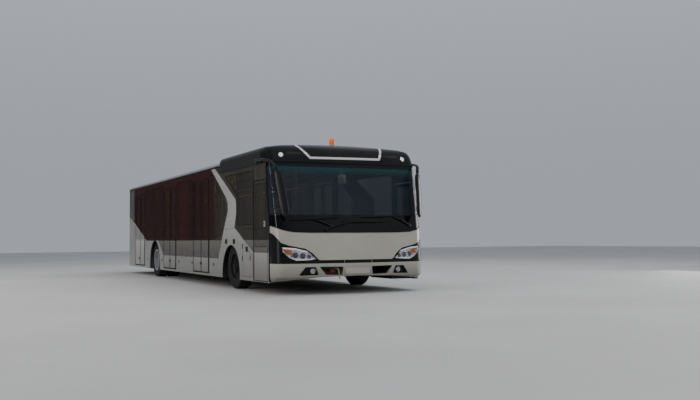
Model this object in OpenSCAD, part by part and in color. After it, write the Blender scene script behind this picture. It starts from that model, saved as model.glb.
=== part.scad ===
// Low-floor airport passenger bus with a raised cab roof, six double doors and two cab doors.
// X runs across (the bus's left is +X), the front faces -Y, Z is up and Z = 0 is the ground.
// Stations along the bus are measured back from the foremost point of the front bumper.

/* [Main sizes] */
// Distance from the front bumper to the front axle
axle_s = 2850; // [2700:10:3000]
// Distance between the axles
wheelbase = 7100; // [6400:10:7800]
// Distance from the rear axle to the rear wall
rear_overhang = 3850; // [3700:10:4300]
// Width over the side walls
body_w = 3200; // [3000:20:3400]
// Thickness of the side walls
wall_t = 60; // [56:1:70]
// Thickness of the skin over the front wheels' recesses
skin_t = 12; // [8:1:15]

/* [Heights] */
// Underside of the skirts
skirt_z = 220; // [180:5:235]
// Top of the silver skirts
belt_z = 625; // [600:5:650]
// Lower edge of the dark glazed zone
glass_z = 1030; // [1000:5:1050]
// Top of the side walls behind the cab
cant_z = 2660; // [2620:5:2700]
// Top of the side walls and of the windscreen under the cab roof
eave_z = 2520; // [2490:5:2540]
// Rise of the main roof above the side walls
roof_rise = 173; // [160:1:185]
// Rise of the cab roof above its eaves
pod_rise = 395; // [360:5:420]

/* [Floor] */
// Top of the passenger floor
floor_z = 270; // [260:1:275]
// Thickness of the floor
floor_t = 60; // [40:1:60]
// Top of the cab platform
platform_z = 850; // [800:5:900]
// Rear end of the cab platform
platform_s = 3620; // [3600:10:3640]

/* [Wheels] */
// Outer radius of the tyres
tyre_r = 480; // [460:1:490]
// Width of one tyre
tyre_w = 285; // [260:1:300]
// Radius of the rim seat
rim_r = 286; // [270:1:300]
// Radius of the front wheel arches
front_arch_r = 593; // [560:1:600]
// Radius of the rear wheel arches
rear_arch_r = 615; // [590:1:618]
// Gap between the twin tyres
twin_gap = 45; // [30:1:60]
// Distance of the steering pins from the side walls' outer faces
kingpin_in = 450; // [445:1:460]
// Distance of the front tyres from the side walls' outer faces
front_inset = 75; // [72:1:80]
// Distance of the rear tyres from the side walls' outer faces
rear_inset = 45; // [30:1:60]

/* [Doors] */
// Width of a double door's opening
door_w = 1400; // [1300:10:1440]
// Top of the door openings
door_top_z = 2455; // [2400:5:2480]
// Gap round each door leaf
door_gap = 8; // [8:1:12]
// Thickness of the door leaves
leaf_t = 45; // [40:1:50]
// Width of a leaf's frame round its glass
leaf_frame = 70; // [60:1:90]
// Distance of a leaf's turning post from its jamb
post_in = 45; // [45:1:60]
// Radius of the turning posts
post_r = 18; // [12:1:20]
// Thickness of the glass
pane_t = 10; // [6:1:12]

/* [Front] */
// Bow radius of the front in plan
bow_r = 6000; // [5500:50:8000]
// Thickness of the front shell
shell_t = 30; // [25:1:40]
// Top of the bumper
bumper_z = 590; // [570:5:600]
// Top of the white mask at the centre
mask_z = 1165; // [1150:5:1190]
// Depth from the foremost point to the seam with the sides
seam_s = 500; // [480:5:540]

/* [Hidden] */
$fn = 64;
half_w = body_w / 2;
inner_x = half_w - wall_t;
overall_l = axle_s + wheelbase + rear_overhang;
rear_axle_s = axle_s + wheelbase;
rear_corner_r = 220;
rear_seam_s = overall_l - rear_corner_r;
pod_end_s = platform_s + 20;
visor_s = 1000;
crown_r = 16000;
roof_r = 80;
pod_r = 130;
roof_t = 45;
seat_gap = 0.3;
running = 0.1;

// Wheel housings: half length, inner walls' places, top, wall thickness
box_half_l = 640;
box_in_front = half_w - 730;
box_in_rear = half_w - 800;
box_top_z = 1090;
box_t = 20;

// Axles and frame
kingpin_x = half_w - kingpin_in;
spindle_r = 46;
rear_spindle_r = 61;
pin_r = 26;
beam_w = 110;
rail_x = 480;
rail_w = 60;
rail_front_z = 317;
rail_front_h = 140;
rail_rear_z = 150;
flange_r = rim_r + 18;
dish_holes = 10;

// Cab: dashboard, driver's place, steps
dash_s = 540;
driver_x = half_w - 700;
step_x = half_w - 550;
step_l = 860;

// Line between the front and the sides, as station and height
SEAM = [[seam_s, mask_z + 120], [seam_s + 165, eave_z]];

// Double doors: name, station of the centre
DOORS = [["front", axle_s + 2300], ["middle", rear_axle_s - 1765], ["rear", rear_seam_s - 1620]];
door_bottom_z = floor_z + 10;
front_door_s0 = DOORS[0][1] - door_w / 2;
rear_door_s0 = DOORS[2][1] - door_w / 2;

// Cab doors
cab_door_front_s = seam_s + 90;
cab_door_top_s = seam_s + 160;
cab_door_rear_s = cab_door_front_s + 805;
cab_door_top_z = 2200;
cab_door_bend_z = 1250;
cab_door_bottom_z = skirt_z + 15;

// Wheel arches: station, height of the centre, radius
ARCHES = [[axle_s, 335, front_arch_r], [rear_axle_s, 425, rear_arch_r]];

// Band edges as station and height, from the roof down to the skirt
BAND_REAR = [[axle_s + 1480, cant_z], [axle_s + 345, 1960], [axle_s + 217, 1831], [axle_s + 217, 1640],
    [axle_s + 470, 1303], [axle_s + 900, belt_z]];
BAND_FRONT = [[axle_s + 1190, cant_z], [axle_s - 325, 1880], [axle_s - 345, 1808], [axle_s - 360, 1620],
    [axle_s - 245, 1295], [axle_s - 1400, 800]];

// Windows: lower and upper edges, and the bays between the doors as front and rear ends
window_z = glass_z + 80;
window_top_z = cant_z - 120;
cab_window_top_z = eave_z - 110;
mullion = 60;
window_mid_s = (DOORS[1][1] + DOORS[2][1]) / 2;
BAYS = [[DOORS[0][1] + door_w / 2 + 100, DOORS[1][1] - door_w / 2 - 100],
    [DOORS[1][1] + door_w / 2 + 100, window_mid_s - mullion / 2],
    [window_mid_s + mullion / 2, rear_door_s0 - 100]];

// Place something at a station along the bus
module at_s(s) {
    translate([0, s - overall_l / 2, 0]) children();
}

// Turn a part modelled on the right side to the wanted side, side = -1 right and 1 left
module on_side(side) {
    mirror([side > 0 ? 1 : 0, 0, 0]) children();
}

// A plate in the side wall's plane: the flat shape has stations along x and heights along y
module side_plate(x0, t) {
    at_s(0) translate([x0, 0, 0]) rotate([90, 0, 90]) linear_extrude(height = t) children();
}

// A beam through the bus along its length: the flat shape has x across and heights along y
module long_plate(s0, s1) {
    at_s(s1) rotate([90, 0, 0]) linear_extrude(height = s1 - s0) children();
}

// Plan outline of the front at one height: station of the centre, half width, bow and corner radii
function front_outline(s0, w, bow, r, s_end) = let (
        cx = w - r,
        cs = s0 + bow - sqrt(pow(bow - r, 2) - pow(cx, 2)),
        top = asin(cx / (bow - r)),
        corner = [for (i = [0:8]) let (a = top + (90 - top) * i / 8) [cx + r * sin(a), cs - r * cos(a)]],
        face = [for (i = [0:7]) let (a = top * i / 8) [bow * sin(a), s0 + bow - bow * cos(a)]],
        half = concat(face, corner, [[w, s_end]]))
    concat(half, [for (i = [len(half) - 1:-1:1]) [-half[i][0], half[i][1]]]);

// Section of a roof: a wide crown, two tight shoulders and short straight sides down to a base
function roof_points(w, top_z, crown, r, base_z) = [for (p = front_outline(0, w, crown, r, top_z - base_z))
    [p[0], top_z - p[1]]];

// Height of a roof's crown at a distance from the centre line
function crown_z(top_z, crown, x) = top_z - crown + sqrt(pow(crown, 2) - pow(x, 2));

// Half width of the same section at a depth below its top
function roof_w(w, crown, r, depth) = let (
        cx = w - r,
        cs = crown - sqrt(pow(crown - r, 2) - pow(cx, 2)),
        on_crown = crown - crown * sqrt(1 - pow(cx / (crown - r), 2)))
    depth < on_crown ? sqrt(pow(crown, 2) - pow(crown - depth, 2))
        : depth < cs ? cx + sqrt(pow(r, 2) - pow(cs - depth, 2)) : w;

// Levels of the front: height, station of the centre, half width, bow radius, corner radius
LEVELS = [
    [140, 190, half_w - 25, bow_r, 500],
    [330, 15, half_w - 3, bow_r, 290],
    [bumper_z, 0, half_w, bow_r, 260],
    [mask_z, 60, half_w, bow_r, 260],
    [eave_z, 520, half_w, bow_r * 3, 110],
];

// Solid front between two levels, shrunk by a wall thickness
module front_block(i, inset) {
    a = LEVELS[i];
    b = LEVELS[i + 1];
    hull() {
        front_slice(a[0], a, inset);
        front_slice(b[0] - 0.1, b, inset);
    }
}

module front_slice(z, level, inset) {
    at_s(0) translate([0, 0, z]) linear_extrude(height = 0.1)
        polygon(front_outline(level[1] + inset, level[2] - inset, level[3] - inset, level[4] - inset, visor_s));
}

// Shell of the front between two levels, cut off behind the seam
module front_shell(i, j, t) {
    difference() {
        union() {
            for (k = [i:j - 1]) front_block(k, 0);
        }
        for (k = [i:j - 1]) front_block(k, t);
        seam_cut();
    }
}

// Everything behind the seam, which leans back above the mask
module seam_cut() {
    side_plate(-half_w - 10, body_w + 20)
        polygon(concat([[seam_s, -10]], SEAM, [[SEAM[1][0], eave_z + 20], [axle_s, eave_z + 20], [axle_s, -10]]));
}

// Edge curves of the front as distance from the centre line and height
MASK_TOP = [[0, mask_z], [900, mask_z + 3], [1250, mask_z + 15], [half_w - 150, mask_z + 60],
    [half_w + 20, mask_z + 140]];
MASK_LOW = [[half_w + 20, mask_z + 25], [half_w - 130, 970], [half_w - 260, 925], [1030, 860], [890, 770], [785, 645], [0, 645]];
LAMP = [[half_w - 130, 900], [half_w - 380, 878], [990, 820], [820, 660], [1000, 640], [half_w - 400, 632],
    [half_w - 260, 690], [half_w - 145, 800]];
function both(points) = concat(points, [for (i = [len(points) - 1:-1:0]) [-points[i][0], points[i][1]]]);

module mask_flat() {
    polygon(concat(MASK_TOP, MASK_LOW, [for (i = [len(MASK_LOW) - 1:-1:0]) [-MASK_LOW[i][0], MASK_LOW[i][1]]],
        [for (i = [len(MASK_TOP) - 1:-1:1]) [-MASK_TOP[i][0], MASK_TOP[i][1]]]));
}

module below_mask_top() {
    polygon(concat([[-half_w - 100, 0]], [for (i = [len(MASK_TOP) - 1:-1:1]) [-MASK_TOP[i][0], MASK_TOP[i][1]]],
        MASK_TOP, [[half_w + 100, 0]]));
}

module lamp_flat() {
    for (m = [0, 1]) mirror([m, 0]) polygon(LAMP);
}

module front_prism() {
    long_plate(-50, visor_s + 50) children();
}

// Outline of a whole side wall
module side_flat() {
    polygon(concat([[seam_s, skirt_z]], SEAM, [[pod_end_s, eave_z], [pod_end_s, cant_z],
        [rear_seam_s, cant_z], [rear_seam_s, skirt_z]]));
}

// A wheel arch, straight below its centre
module arch_flat(s, z, r) {
    translate([s, z]) circle(r = r, $fn = 96);
    translate([s - r, 0]) square([2 * r, z]);
}

module arches_flat() {
    for (arch = ARCHES) arch_flat(arch[0], arch[1], arch[2]);
}

// Room for the steered wheel behind the skin
module wheel_recess() {
    side_plate(-half_w + skin_t, wall_t)
        arch_flat(axle_s, box_top_z - box_t - box_half_l + box_t, box_half_l - box_t);
}

module doors_flat() {
    for (door = DOORS)
        translate([door[1] - door_w / 2, floor_z]) square([door_w, door_top_z - floor_z]);
    polygon(cab_door_points(0));
}

function cab_door_points(gap) = [
    [cab_door_front_s + gap, cab_door_bottom_z + gap], [cab_door_front_s + gap, cab_door_bend_z],
    [cab_door_top_s + gap, cab_door_top_z - gap], [cab_door_rear_s - gap, cab_door_top_z - gap],
    [cab_door_rear_s - gap, cab_door_bottom_z + gap]];

// Silver zone: skirts, band and the flare up the rear corner
module silver_flat() {
    polygon(concat([[0, 0], [0, 800]], [for (i = [len(BAND_FRONT) - 1:-1:0]) BAND_FRONT[i]], BAND_REAR,
        [[rear_axle_s - 1050, belt_z], [rear_axle_s - 430, glass_z], [rear_door_s0 - 200, glass_z],
        [rear_door_s0 + 160, 1158], [rear_door_s0 + 1466, 1570], [rear_seam_s, 1805], [rear_seam_s, 0]]));
}

// Window openings
module windows_flat() {
    a = axle_s;
    polygon([[cab_door_rear_s + 70, 1340], [cab_door_rear_s + 70, cab_window_top_z],
        [a + 440, cab_window_top_z], [a - 420, 1950], [a - 460, 1800], [a - 470, 1600], [a - 380, 1340]]);
    polygon([[front_door_s0 - 110, window_z], [front_door_s0 - 110, window_top_z], [a + 1390, window_top_z],
        [a + 470, 1935], [a + 330, 1790], [a + 330, 1670], [a + 560, 1340], [a + 660, window_z + 80],
        [a + 860, window_z]]);
    for (bay = BAYS) translate([bay[0], window_z]) square([bay[1] - bay[0], window_top_z - window_z]);
}

module side_wall(side) {
    color("#33292b") on_side(side) difference() {
        side_plate(-half_w, wall_t) difference() {
            side_flat();
            silver_flat();
            windows_flat();
            doors_flat();
            arches_flat();
        }
        wheel_recess();
    }
}

module side_panels(side) {
    color("#c9c8c2") on_side(side) difference() {
        side_plate(-half_w, wall_t) difference() {
            intersection() {
                side_flat();
                silver_flat();
            }
            doors_flat();
            arches_flat();
        }
        wheel_recess();
    }
}

module side_windows(side) {
    color("#4a2f33") on_side(side) side_plate(-half_w, pane_t) windows_flat();
}

// Main roof: a shell with a wide crown and tight shoulders
module roof() {
    color("#b9bcbf") long_plate(pod_end_s, rear_seam_s) roof_ring();
}

// Cross section of the main roof
module roof_ring() {
    difference() {
        roof_flat();
        roof_hollow();
    }
}

module roof_flat() {
    polygon(roof_points(half_w, cant_z + roof_rise, crown_r, roof_r, cant_z));
}

module roof_hollow() {
    polygon(roof_points(inner_x, cant_z + roof_rise - roof_t, crown_r - roof_t, roof_r - roof_t, cant_z - 1));
}

// Raised cab roof, open below and in front, with its step down to the main roof
module cab_roof() {
    top = eave_z + pod_rise;
    color("#5c6166") difference() {
        long_plate(visor_s, pod_end_s) polygon(roof_points(half_w, top, crown_r, pod_r, eave_z));
        pod_slope(0);
        difference() {
            long_plate(visor_s - 1, pod_end_s + 1)
                polygon(roof_points(inner_x, top - roof_t, crown_r - roof_t, pod_r - roof_t, eave_z - 1));
            pod_slope(60);
        }
    }
}

// Wedge behind the raised roof's sloping end, moved forward and kept clear of the opening below
module pod_slope(forward) {
    top = eave_z + pod_rise;
    side_plate(-half_w - 10, body_w + 20)
        polygon([[pod_end_s - 300 - forward, top + 20], [pod_end_s - 240 - forward, top],
            [pod_end_s - 100 - forward, top - 30], [pod_end_s - forward, cant_z + roof_rise],
            [pod_end_s - forward, cant_z], [pod_end_s + 2, cant_z], [pod_end_s + 2, top + 20]]);
}

// Black front of the raised roof, lofted through levels of the same section.
// Each level: height over the eaves, station of the centre, corner radius
VISOR = [[0, 520, 110], [120, 560, 140], [200, 600, 160], [260, 640, 170], [300, 680, 160], [335, 735, 130],
    [362, 800, 110], [390, 900, 80]];
module visor() {
    color("#15171a") difference() {
        union() {
            for (i = [0:len(VISOR) - 2]) hull() {
                visor_slice(VISOR[i][0], VISOR[i]);
                visor_slice(VISOR[i + 1][0] - 0.1, VISOR[i + 1]);
            }
        }
        marker_bores();
    }
}

module visor_slice(z, level) {
    w = roof_w(half_w, crown_r, pod_r, pod_rise - level[0]);
    at_s(0) translate([0, 0, eave_z + z]) linear_extrude(height = 0.1)
        polygon(front_outline(level[1], w, bow_r * 3, level[2], visor_s));
}

module windscreen() {
    color("#26343d") difference() {
        front_shell(3, 4, pane_t);
        front_prism() below_mask_top();
    }
}

module front_mask() {
    color("#d3d0c4") intersection() {
        front_shell(2, 4, shell_t);
        front_prism() mask_flat();
    }
}

module front_cheeks() {
    color("#17191b") intersection() {
        front_shell(2, 4, shell_t);
        front_prism() difference() {
            translate([-half_w - 50, bumper_z]) square([body_w + 100, 800]);
            mask_flat();
            lamp_flat();
            above_mask();
        }
    }
}

module above_mask() {
    difference() {
        translate([-half_w - 60, 640]) square([body_w + 120, 900]);
        below_mask_top();
    }
}

module headlamps() {
    color("#e4e6e8") intersection() {
        front_shell(2, 3, shell_t);
        front_prism() lamp_flat();
    }
}

// Bumper openings: inner openings and fog lamp housings
INNER_HOLE = [[330, 372], [640, 378], [760, 517], [310, 512]];
FOG_HOLE = [[800, 378], [1150, 370], [1040, 512], [850, 512]];
FOG_LAMP = [905, 446, 42];
fog_back_s = 260;
bumper_t = shell_t + 10;
module bumper_flat() {
    difference() {
        polygon(both([[half_w + 20, bumper_z - 6], [half_w + 20, 238], [1200, 288], [750, 326], [0, 345]]));
        for (m = [0, 1]) mirror([m, 0]) {
            polygon(INNER_HOLE);
            polygon(FOG_HOLE);
        }
    }
}

module front_bumper() {
    color("#cfccc0") intersection() {
        front_shell(0, 2, bumper_t);
        front_prism() bumper_flat();
    }
}

// Housings that lie against the back of the bumper round the fog lamps
module fog_lamps() {
    color("#2a2c2e") intersection() {
        union() {
            front_block(0, bumper_t);
            front_block(1, bumper_t);
        }
        front_prism() for (m = [0, 1]) mirror([m, 0, 0])
            translate([FOG_HOLE[0][0] - 25, FOG_HOLE[1][1] - 20]) square([400, 180]);
        at_s(0) translate([-half_w, 0, 0]) cube([body_w, fog_back_s, 900]);
    }
    color("#e8eaec") for (m = [0, 1]) mirror([m, 0, 0])
        at_s(140) translate([FOG_LAMP[0], 0, FOG_LAMP[1]]) rotate([90, 0, 0]) cylinder(r = FOG_LAMP[2], h = 60);
}

// Marker lamps: distance from the centre line, height over the eaves, radius
MARKER = [half_w - 275, 135, 46];
marker_s = 700;
module marker_bores() {
    for (m = [-1, 1]) at_s(marker_s) translate([m * MARKER[0], 0, eave_z + MARKER[1]])
        rotate([90, 0, 0]) cylinder(r = MARKER[2], h = 400);
}

module marker_lamps() {
    color("#e9e9e4") for (m = [-1, 1]) at_s(marker_s - seat_gap)
        translate([m * MARKER[0], 0, eave_z + MARKER[1]])
        rotate([90, 0, 0]) cylinder(r = MARKER[2] - seat_gap, h = 95);
}

module beacon() {
    color("#e0621c") at_s(visor_s + 150) translate([0, 0, eave_z + pod_rise]) {
        cylinder(r = 75, h = 40);
        translate([0, 0, 40]) cylinder(r = 62, h = 110);
        translate([0, 0, 150]) cylinder(r1 = 62, r2 = 40, h = 25);
    }
}

// Mirror arms on the left side as x, station, height: root, elbow, bend, top and foot of the head
MIRROR = [[half_w + 46, 1150, eave_z + 50], [half_w + 44, 660, eave_z + 35], [half_w - 10, 450, eave_z - 20],
    [half_w - 75, 340, eave_z - 140], [half_w - 170, 110, mask_z + 285]];
arm_r = 34;
module mirror_point(i, dx, dy, r) {
    at_s(MIRROR[i][1]) translate([MIRROR[i][0] + dx, dy, MIRROR[i][2]]) sphere(r = r, $fn = 16);
}

// Arms that run forward from the cab roof's corners, with long drooping heads turned round the corner
module mirrors() {
    head_x = 46;
    head_y = 38;
    color("#131417") for (m = [0, 1]) mirror([m, 0, 0]) {
        at_s(MIRROR[0][1]) translate([half_w + seat_gap, 0, MIRROR[0][2]]) rotate([0, 90, 0])
            cylinder(r = arm_r + 6, h = 40);
        for (i = [0:2]) hull() {
            mirror_point(i, 0, 0, arm_r);
            mirror_point(i + 1, 0, 0, arm_r);
        }
        hull() for (i = [3, 4], k = [-1, 1]) mirror_point(i, k * head_x, k * head_y, 40);
    }
}

// Wipers parked on the windscreen: pivot, elbow and the two ends of the blade, as x, s, z
WIPERS = [
    [[-500, 100, 1275], [-900, 200, 1420], [-1300, 285, 1390], [-350, 152, 1440]],
    [[1250, 222, 1300], [850, 200, 1475], [150, 148, 1445], [1100, 270, 1490]],
];
module wipers() {
    color("#0d0d0e") for (w = WIPERS) difference() {
        union() {
            rod(w[0], w[0], 38);
            rod(w[0], w[1], 14);
            rod(w[2], w[3], 13);
        }
        front_block(3, -seat_gap);
    }
}

module rod(a, b, r) {
    hull() for (p = [a, b]) at_s(p[1]) translate([p[0], 0, p[2]]) sphere(r = r, $fn = 12);
}

module tow_eyes() {
    color("#6e1a16") {
        tow_eye(tow_s, rail_front_z + rail_front_h - 20, 1);
        tow_eye(overall_l - 60, rail_rear_z + 30, -1);
    }
}

// Forged eye with a vertical bore, on a shank that meets the end of a frame rail
tow_s = 170;
rail_end_s = 640;
// Stop plate behind the front eye: width, height, distance behind the eye, thickness
JAW = [250, 95, 130, 40];
module tow_eye(s, z, dir) {
    shank = dir > 0 ? rail_end_s - tow_s : rail_end_s - 60;
    at_s(s) mirror([0, dir > 0 ? 0 : 1, 0]) translate([-rail_x, 0, z]) difference() {
        union() {
            cylinder(r = 60, h = 40, center = true);
            translate([-rail_w / 2, 0, -20]) cube([rail_w, shank, 40]);
            if (dir > 0) translate([-JAW[0] / 2, JAW[2], -JAW[1] + 20]) cube([JAW[0], JAW[3], JAW[1]]);
        }
        cylinder(r = 25, h = 60, center = true);
    }
}

// Rear wall with rounded corners
module rear_plan(inset) {
    r = rear_corner_r - inset;
    w = half_w - inset;
    for (m = [-1, 1]) translate([m * (w - r), rear_seam_s]) circle(r = r);
    translate([-(w - r), rear_seam_s]) square([2 * (w - r), r]);
}

module rear_ring(z0, z1, t) {
    at_s(0) translate([0, 0, z0]) linear_extrude(height = z1 - z0) difference() {
        rear_plan(0);
        rear_plan(t);
        translate([-half_w - 1, 0]) square([body_w + 2, rear_seam_s]);
    }
}

REAR_WINDOW = [1050, 1450, 2350];
REAR_LID = [800, 620, 1180];
module rear_hole(size, gap) {
    at_s(rear_seam_s) translate([-size[0] - gap, 0, size[1] - gap])
        cube([2 * (size[0] + gap), rear_corner_r + 10, size[2] - size[1] + 2 * gap]);
}

module rear_wall() {
    color("#c6c5c0") difference() {
        union() {
            rear_ring(560, cant_z, wall_t);
            rear_cap();
        }
        rear_hole(REAR_WINDOW, 0);
        rear_hole(REAR_LID, door_gap);
        tail_cut();
    }
}

// Closing piece of the roof over the rear wall, hollow like both
module rear_cap() {
    difference() {
        intersection() {
            long_plate(rear_seam_s, overall_l) roof_flat();
            rear_prism(0);
        }
        intersection() {
            long_plate(rear_seam_s - 1, overall_l) roof_hollow();
            rear_prism(wall_t);
        }
    }
}

module rear_prism(inset) {
    at_s(0) translate([0, 0, cant_z - 1]) linear_extrude(height = roof_rise + 2) {
        rear_plan(inset);
        translate([inset - half_w, rear_seam_s - 5]) square([body_w - 2 * inset, 6]);
    }
}

module rear_window() {
    color("#2b2326") intersection() {
        rear_ring(REAR_WINDOW[1], REAR_WINDOW[2], pane_t);
        rear_hole(REAR_WINDOW, 0);
    }
}

// Service lid in the rear wall, turning on pins near its top edge
module rear_lid() {
    color("#c6c5c0") {
        intersection() {
            rear_ring(REAR_LID[1], REAR_LID[2], 40);
            rear_hole(REAR_LID, 0);
        }
        at_s(overall_l - 8) translate([-REAR_LID[0] - door_gap + seat_gap, 0, REAR_LID[2] - 10])
            rotate([0, 90, 0]) cylinder(r = 6, h = 2 * (REAR_LID[0] + door_gap - seat_gap));
    }
}

module tail_cut() {
    for (m = [-1, 1]) at_s(rear_seam_s + 60) translate([m * 1360 - 70, 0, 640])
        cube([140, 300, 480]);
}

module tail_lamps() {
    color("#8e1c16") intersection() {
        rear_ring(600, 1200, wall_t);
        tail_cut();
    }
}

module rear_bumper() {
    color("#b4b3ad") rear_ring(skirt_z, 554, wall_t);
}

module floor() {
    color("#4f5357") {
        difference() {
            union() {
                at_s(platform_s) translate([-inner_x, 0, floor_z - floor_t])
                    cube([2 * inner_x, rear_seam_s - platform_s, floor_t]);
                at_s(0) translate([0, 0, floor_z - floor_t]) linear_extrude(height = floor_t)
                    rear_plan(wall_t);
            }
            for (m = [0, 1]) mirror([m, 0, 0]) at_s(rear_axle_s - box_half_l)
                translate([box_in_rear, 0, 0]) cube([half_w, 2 * box_half_l, 1000]);
        }
        for (m = [0, 1]) mirror([m, 0, 0]) wheel_box(rear_axle_s, box_in_rear);
    }
}

// Housing over a wheel, open at the side wall and below
module wheel_box(s, in_x) {
    z0 = floor_z - floor_t;
    at_s(s - box_half_l) translate([in_x, 0, z0]) difference() {
        cube([inner_x - in_x, 2 * box_half_l, box_top_z - z0]);
        translate([box_t, box_t, -1])
            cube([inner_x, 2 * (box_half_l - box_t), box_top_z - z0 - box_t + 1]);
    }
}

// Rails: deep under the cab with two cross members below the engine, shallow under the floor
module chassis_frame() {
    color("#3a3c3f") {
        for (x = [-rail_x, rail_x]) {
            at_s(rail_end_s) translate([x - rail_w / 2, 0, rail_front_z])
                cube([rail_w, platform_s - 30 - rail_end_s, rail_front_h]);
            at_s(platform_s) translate([x - rail_w / 2, 0, rail_rear_z])
                cube([rail_w, overall_l - rail_end_s - platform_s, floor_z - floor_t - rail_rear_z]);
        }
        for (s = [1100, 2150]) at_s(s) translate([-rail_x, 0, rail_front_z])
            cube([2 * rail_x, 100, 13]);
    }
}

// Dropped beam with an eye for each steering pin
module front_axle() {
    color("#2f3133") at_s(axle_s) {
        translate([-kingpin_x + 80, -beam_w / 2, 250]) cube([2 * kingpin_x - 160, beam_w, rail_front_z - 250]);
        for (m = [0, 1]) mirror([m, 0, 0]) translate([kingpin_x, 0, 0]) difference() {
            union() {
                translate([0, 0, 380]) cylinder(r = 60, h = 200);
                translate([-150, -beam_w / 2, 250]) cube([75, beam_w, 325]);
                translate([-80, -30, 400]) cube([80, 60, 160]);
            }
            translate([0, 0, 370]) cylinder(r = pin_r, h = 220);
        }
    }
}

// Steering knuckle: pin, two ears, a web and the wheel spindle
module knuckle(side) {
    web = 65;
    tip_x = half_w - front_inset - 20;
    color("#46484b") on_side(side) at_s(axle_s) translate([-kingpin_x, 0, 0]) {
        translate([0, 0, 350]) cylinder(r = pin_r - running, h = 260);
        for (z = [350, 582]) {
            translate([0, 0, z]) cylinder(r = 58, h = 28);
            translate([-web - 30, -45, z]) cube([web + 30, 90, 28]);
        }
        translate([-web - 50, -55, 350]) cube([50, 110, 260]);
        translate([-web - 40, 0, tyre_r]) rotate([0, -90, 0])
            cylinder(r = spindle_r - running, h = tip_x - kingpin_x - web - 40);
    }
}

// Section of a front rim: radius, then depth from the outer face
module front_rim_profile() {
    polygon([[spindle_r, 40], [110, 40], [130, 100], [230, 100], [262, 60], [262, 12], [flange_r, 12],
        [flange_r, 24], [rim_r, 24], [rim_r, tyre_w - 24], [flange_r, tyre_w - 24], [flange_r, tyre_w - 12],
        [262, tyre_w - 12], [262, 125], [235, 122], [spindle_r, 122]]);
}

// Section of a tyre, its bead inside the rim's flanges
module tyre_profile() {
    s = 24.5;
    half = [[rim_r + seat_gap, s], [flange_r + 1, s], [rim_r + 40, s - 8], [tyre_r - 90, 0],
        [tyre_r - 35, 6], [tyre_r, 40]];
    polygon(concat(half, [for (i = [len(half) - 1:-1:0]) [half[i][0], tyre_w - half[i][1]]]));
}

// Turn a profile about the wheel axis: its first coordinate is the radius, its second runs inwards from x0
module wheel_turn(s, x0) {
    at_s(s) translate([x0, 0, tyre_r]) rotate([0, 90, 0]) rotate_extrude() children();
}

// Ring of hand holes through a rim's dish
module hand_holes(s, x0, depth, r) {
    at_s(s) translate([x0, 0, tyre_r]) for (i = [0:dish_holes - 1])
        rotate([360 * i / dish_holes, 0, 0]) translate([0, 0, r]) rotate([0, 90, 0]) cylinder(r = 24, h = depth);
}

module front_rim(side) {
    color("#b9bcbf") on_side(side) difference() {
        wheel_turn(axle_s, -half_w + front_inset) front_rim_profile();
        hand_holes(axle_s, -half_w + front_inset + 90, 60, 180);
    }
}

module front_tyre(side) {
    color("#161616") on_side(side) wheel_turn(axle_s, -half_w + front_inset) tyre_profile();
}

// Twin rims bolted face to face, the outer one deep dished
module rear_rims(side) {
    w2 = 2 * tyre_w + twin_gap;
    mid = tyre_w + twin_gap / 2;
    f = flange_r;
    color("#b9bcbf") on_side(side) difference() {
        wheel_turn(rear_axle_s, -half_w + rear_inset)
            polygon([[rear_spindle_r, mid - 180], [130, mid - 180], [140, mid - 20], [240, mid - 20],
                [262, mid - 60], [262, 12], [f, 12], [f, 24], [rim_r, 24], [rim_r, tyre_w - 24], [f, tyre_w - 24],
                [f, tyre_w - 12], [275, tyre_w - 12], [275, tyre_w + twin_gap + 12], [f, tyre_w + twin_gap + 12],
                [f, tyre_w + twin_gap + 24], [rim_r, tyre_w + twin_gap + 24], [rim_r, w2 - 24], [f, w2 - 24],
                [f, w2 - 12], [262, w2 - 12], [262, mid + 60], [240, mid + 20], [rear_spindle_r, mid + 20]]);
        hand_holes(rear_axle_s, -half_w + rear_inset + mid - 40, 80, 205);
    }
}

module rear_tyres(side) {
    color("#161616") on_side(side) for (i = [0, 1])
        wheel_turn(rear_axle_s, -half_w + rear_inset + i * (tyre_w + twin_gap)) tyre_profile();
}

// Beam below the floor, turned up inside the wheel housings to the spindles
module rear_axle() {
    up_x = box_in_rear + 35;
    tip = half_w - rear_inset - (tyre_w + twin_gap / 2 - 170);
    color("#2f3133") at_s(rear_axle_s) {
        translate([-up_x - 70, -70, 100]) cube([2 * up_x + 140, 140, 50]);
        for (m = [0, 1]) mirror([m, 0, 0]) {
            translate([up_x, -70, 100]) cube([70, 140, tyre_r - 30]);
            translate([up_x + 60, 0, tyre_r]) rotate([0, 90, 0])
                cylinder(r = rear_spindle_r - running, h = tip - up_x - 60);
        }
    }
}

module engine_block() {
    color("#5a5d5f") at_s(1000) translate([-350, 0, rail_front_z + 13]) cube([700, 1350, 700]);
}

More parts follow.
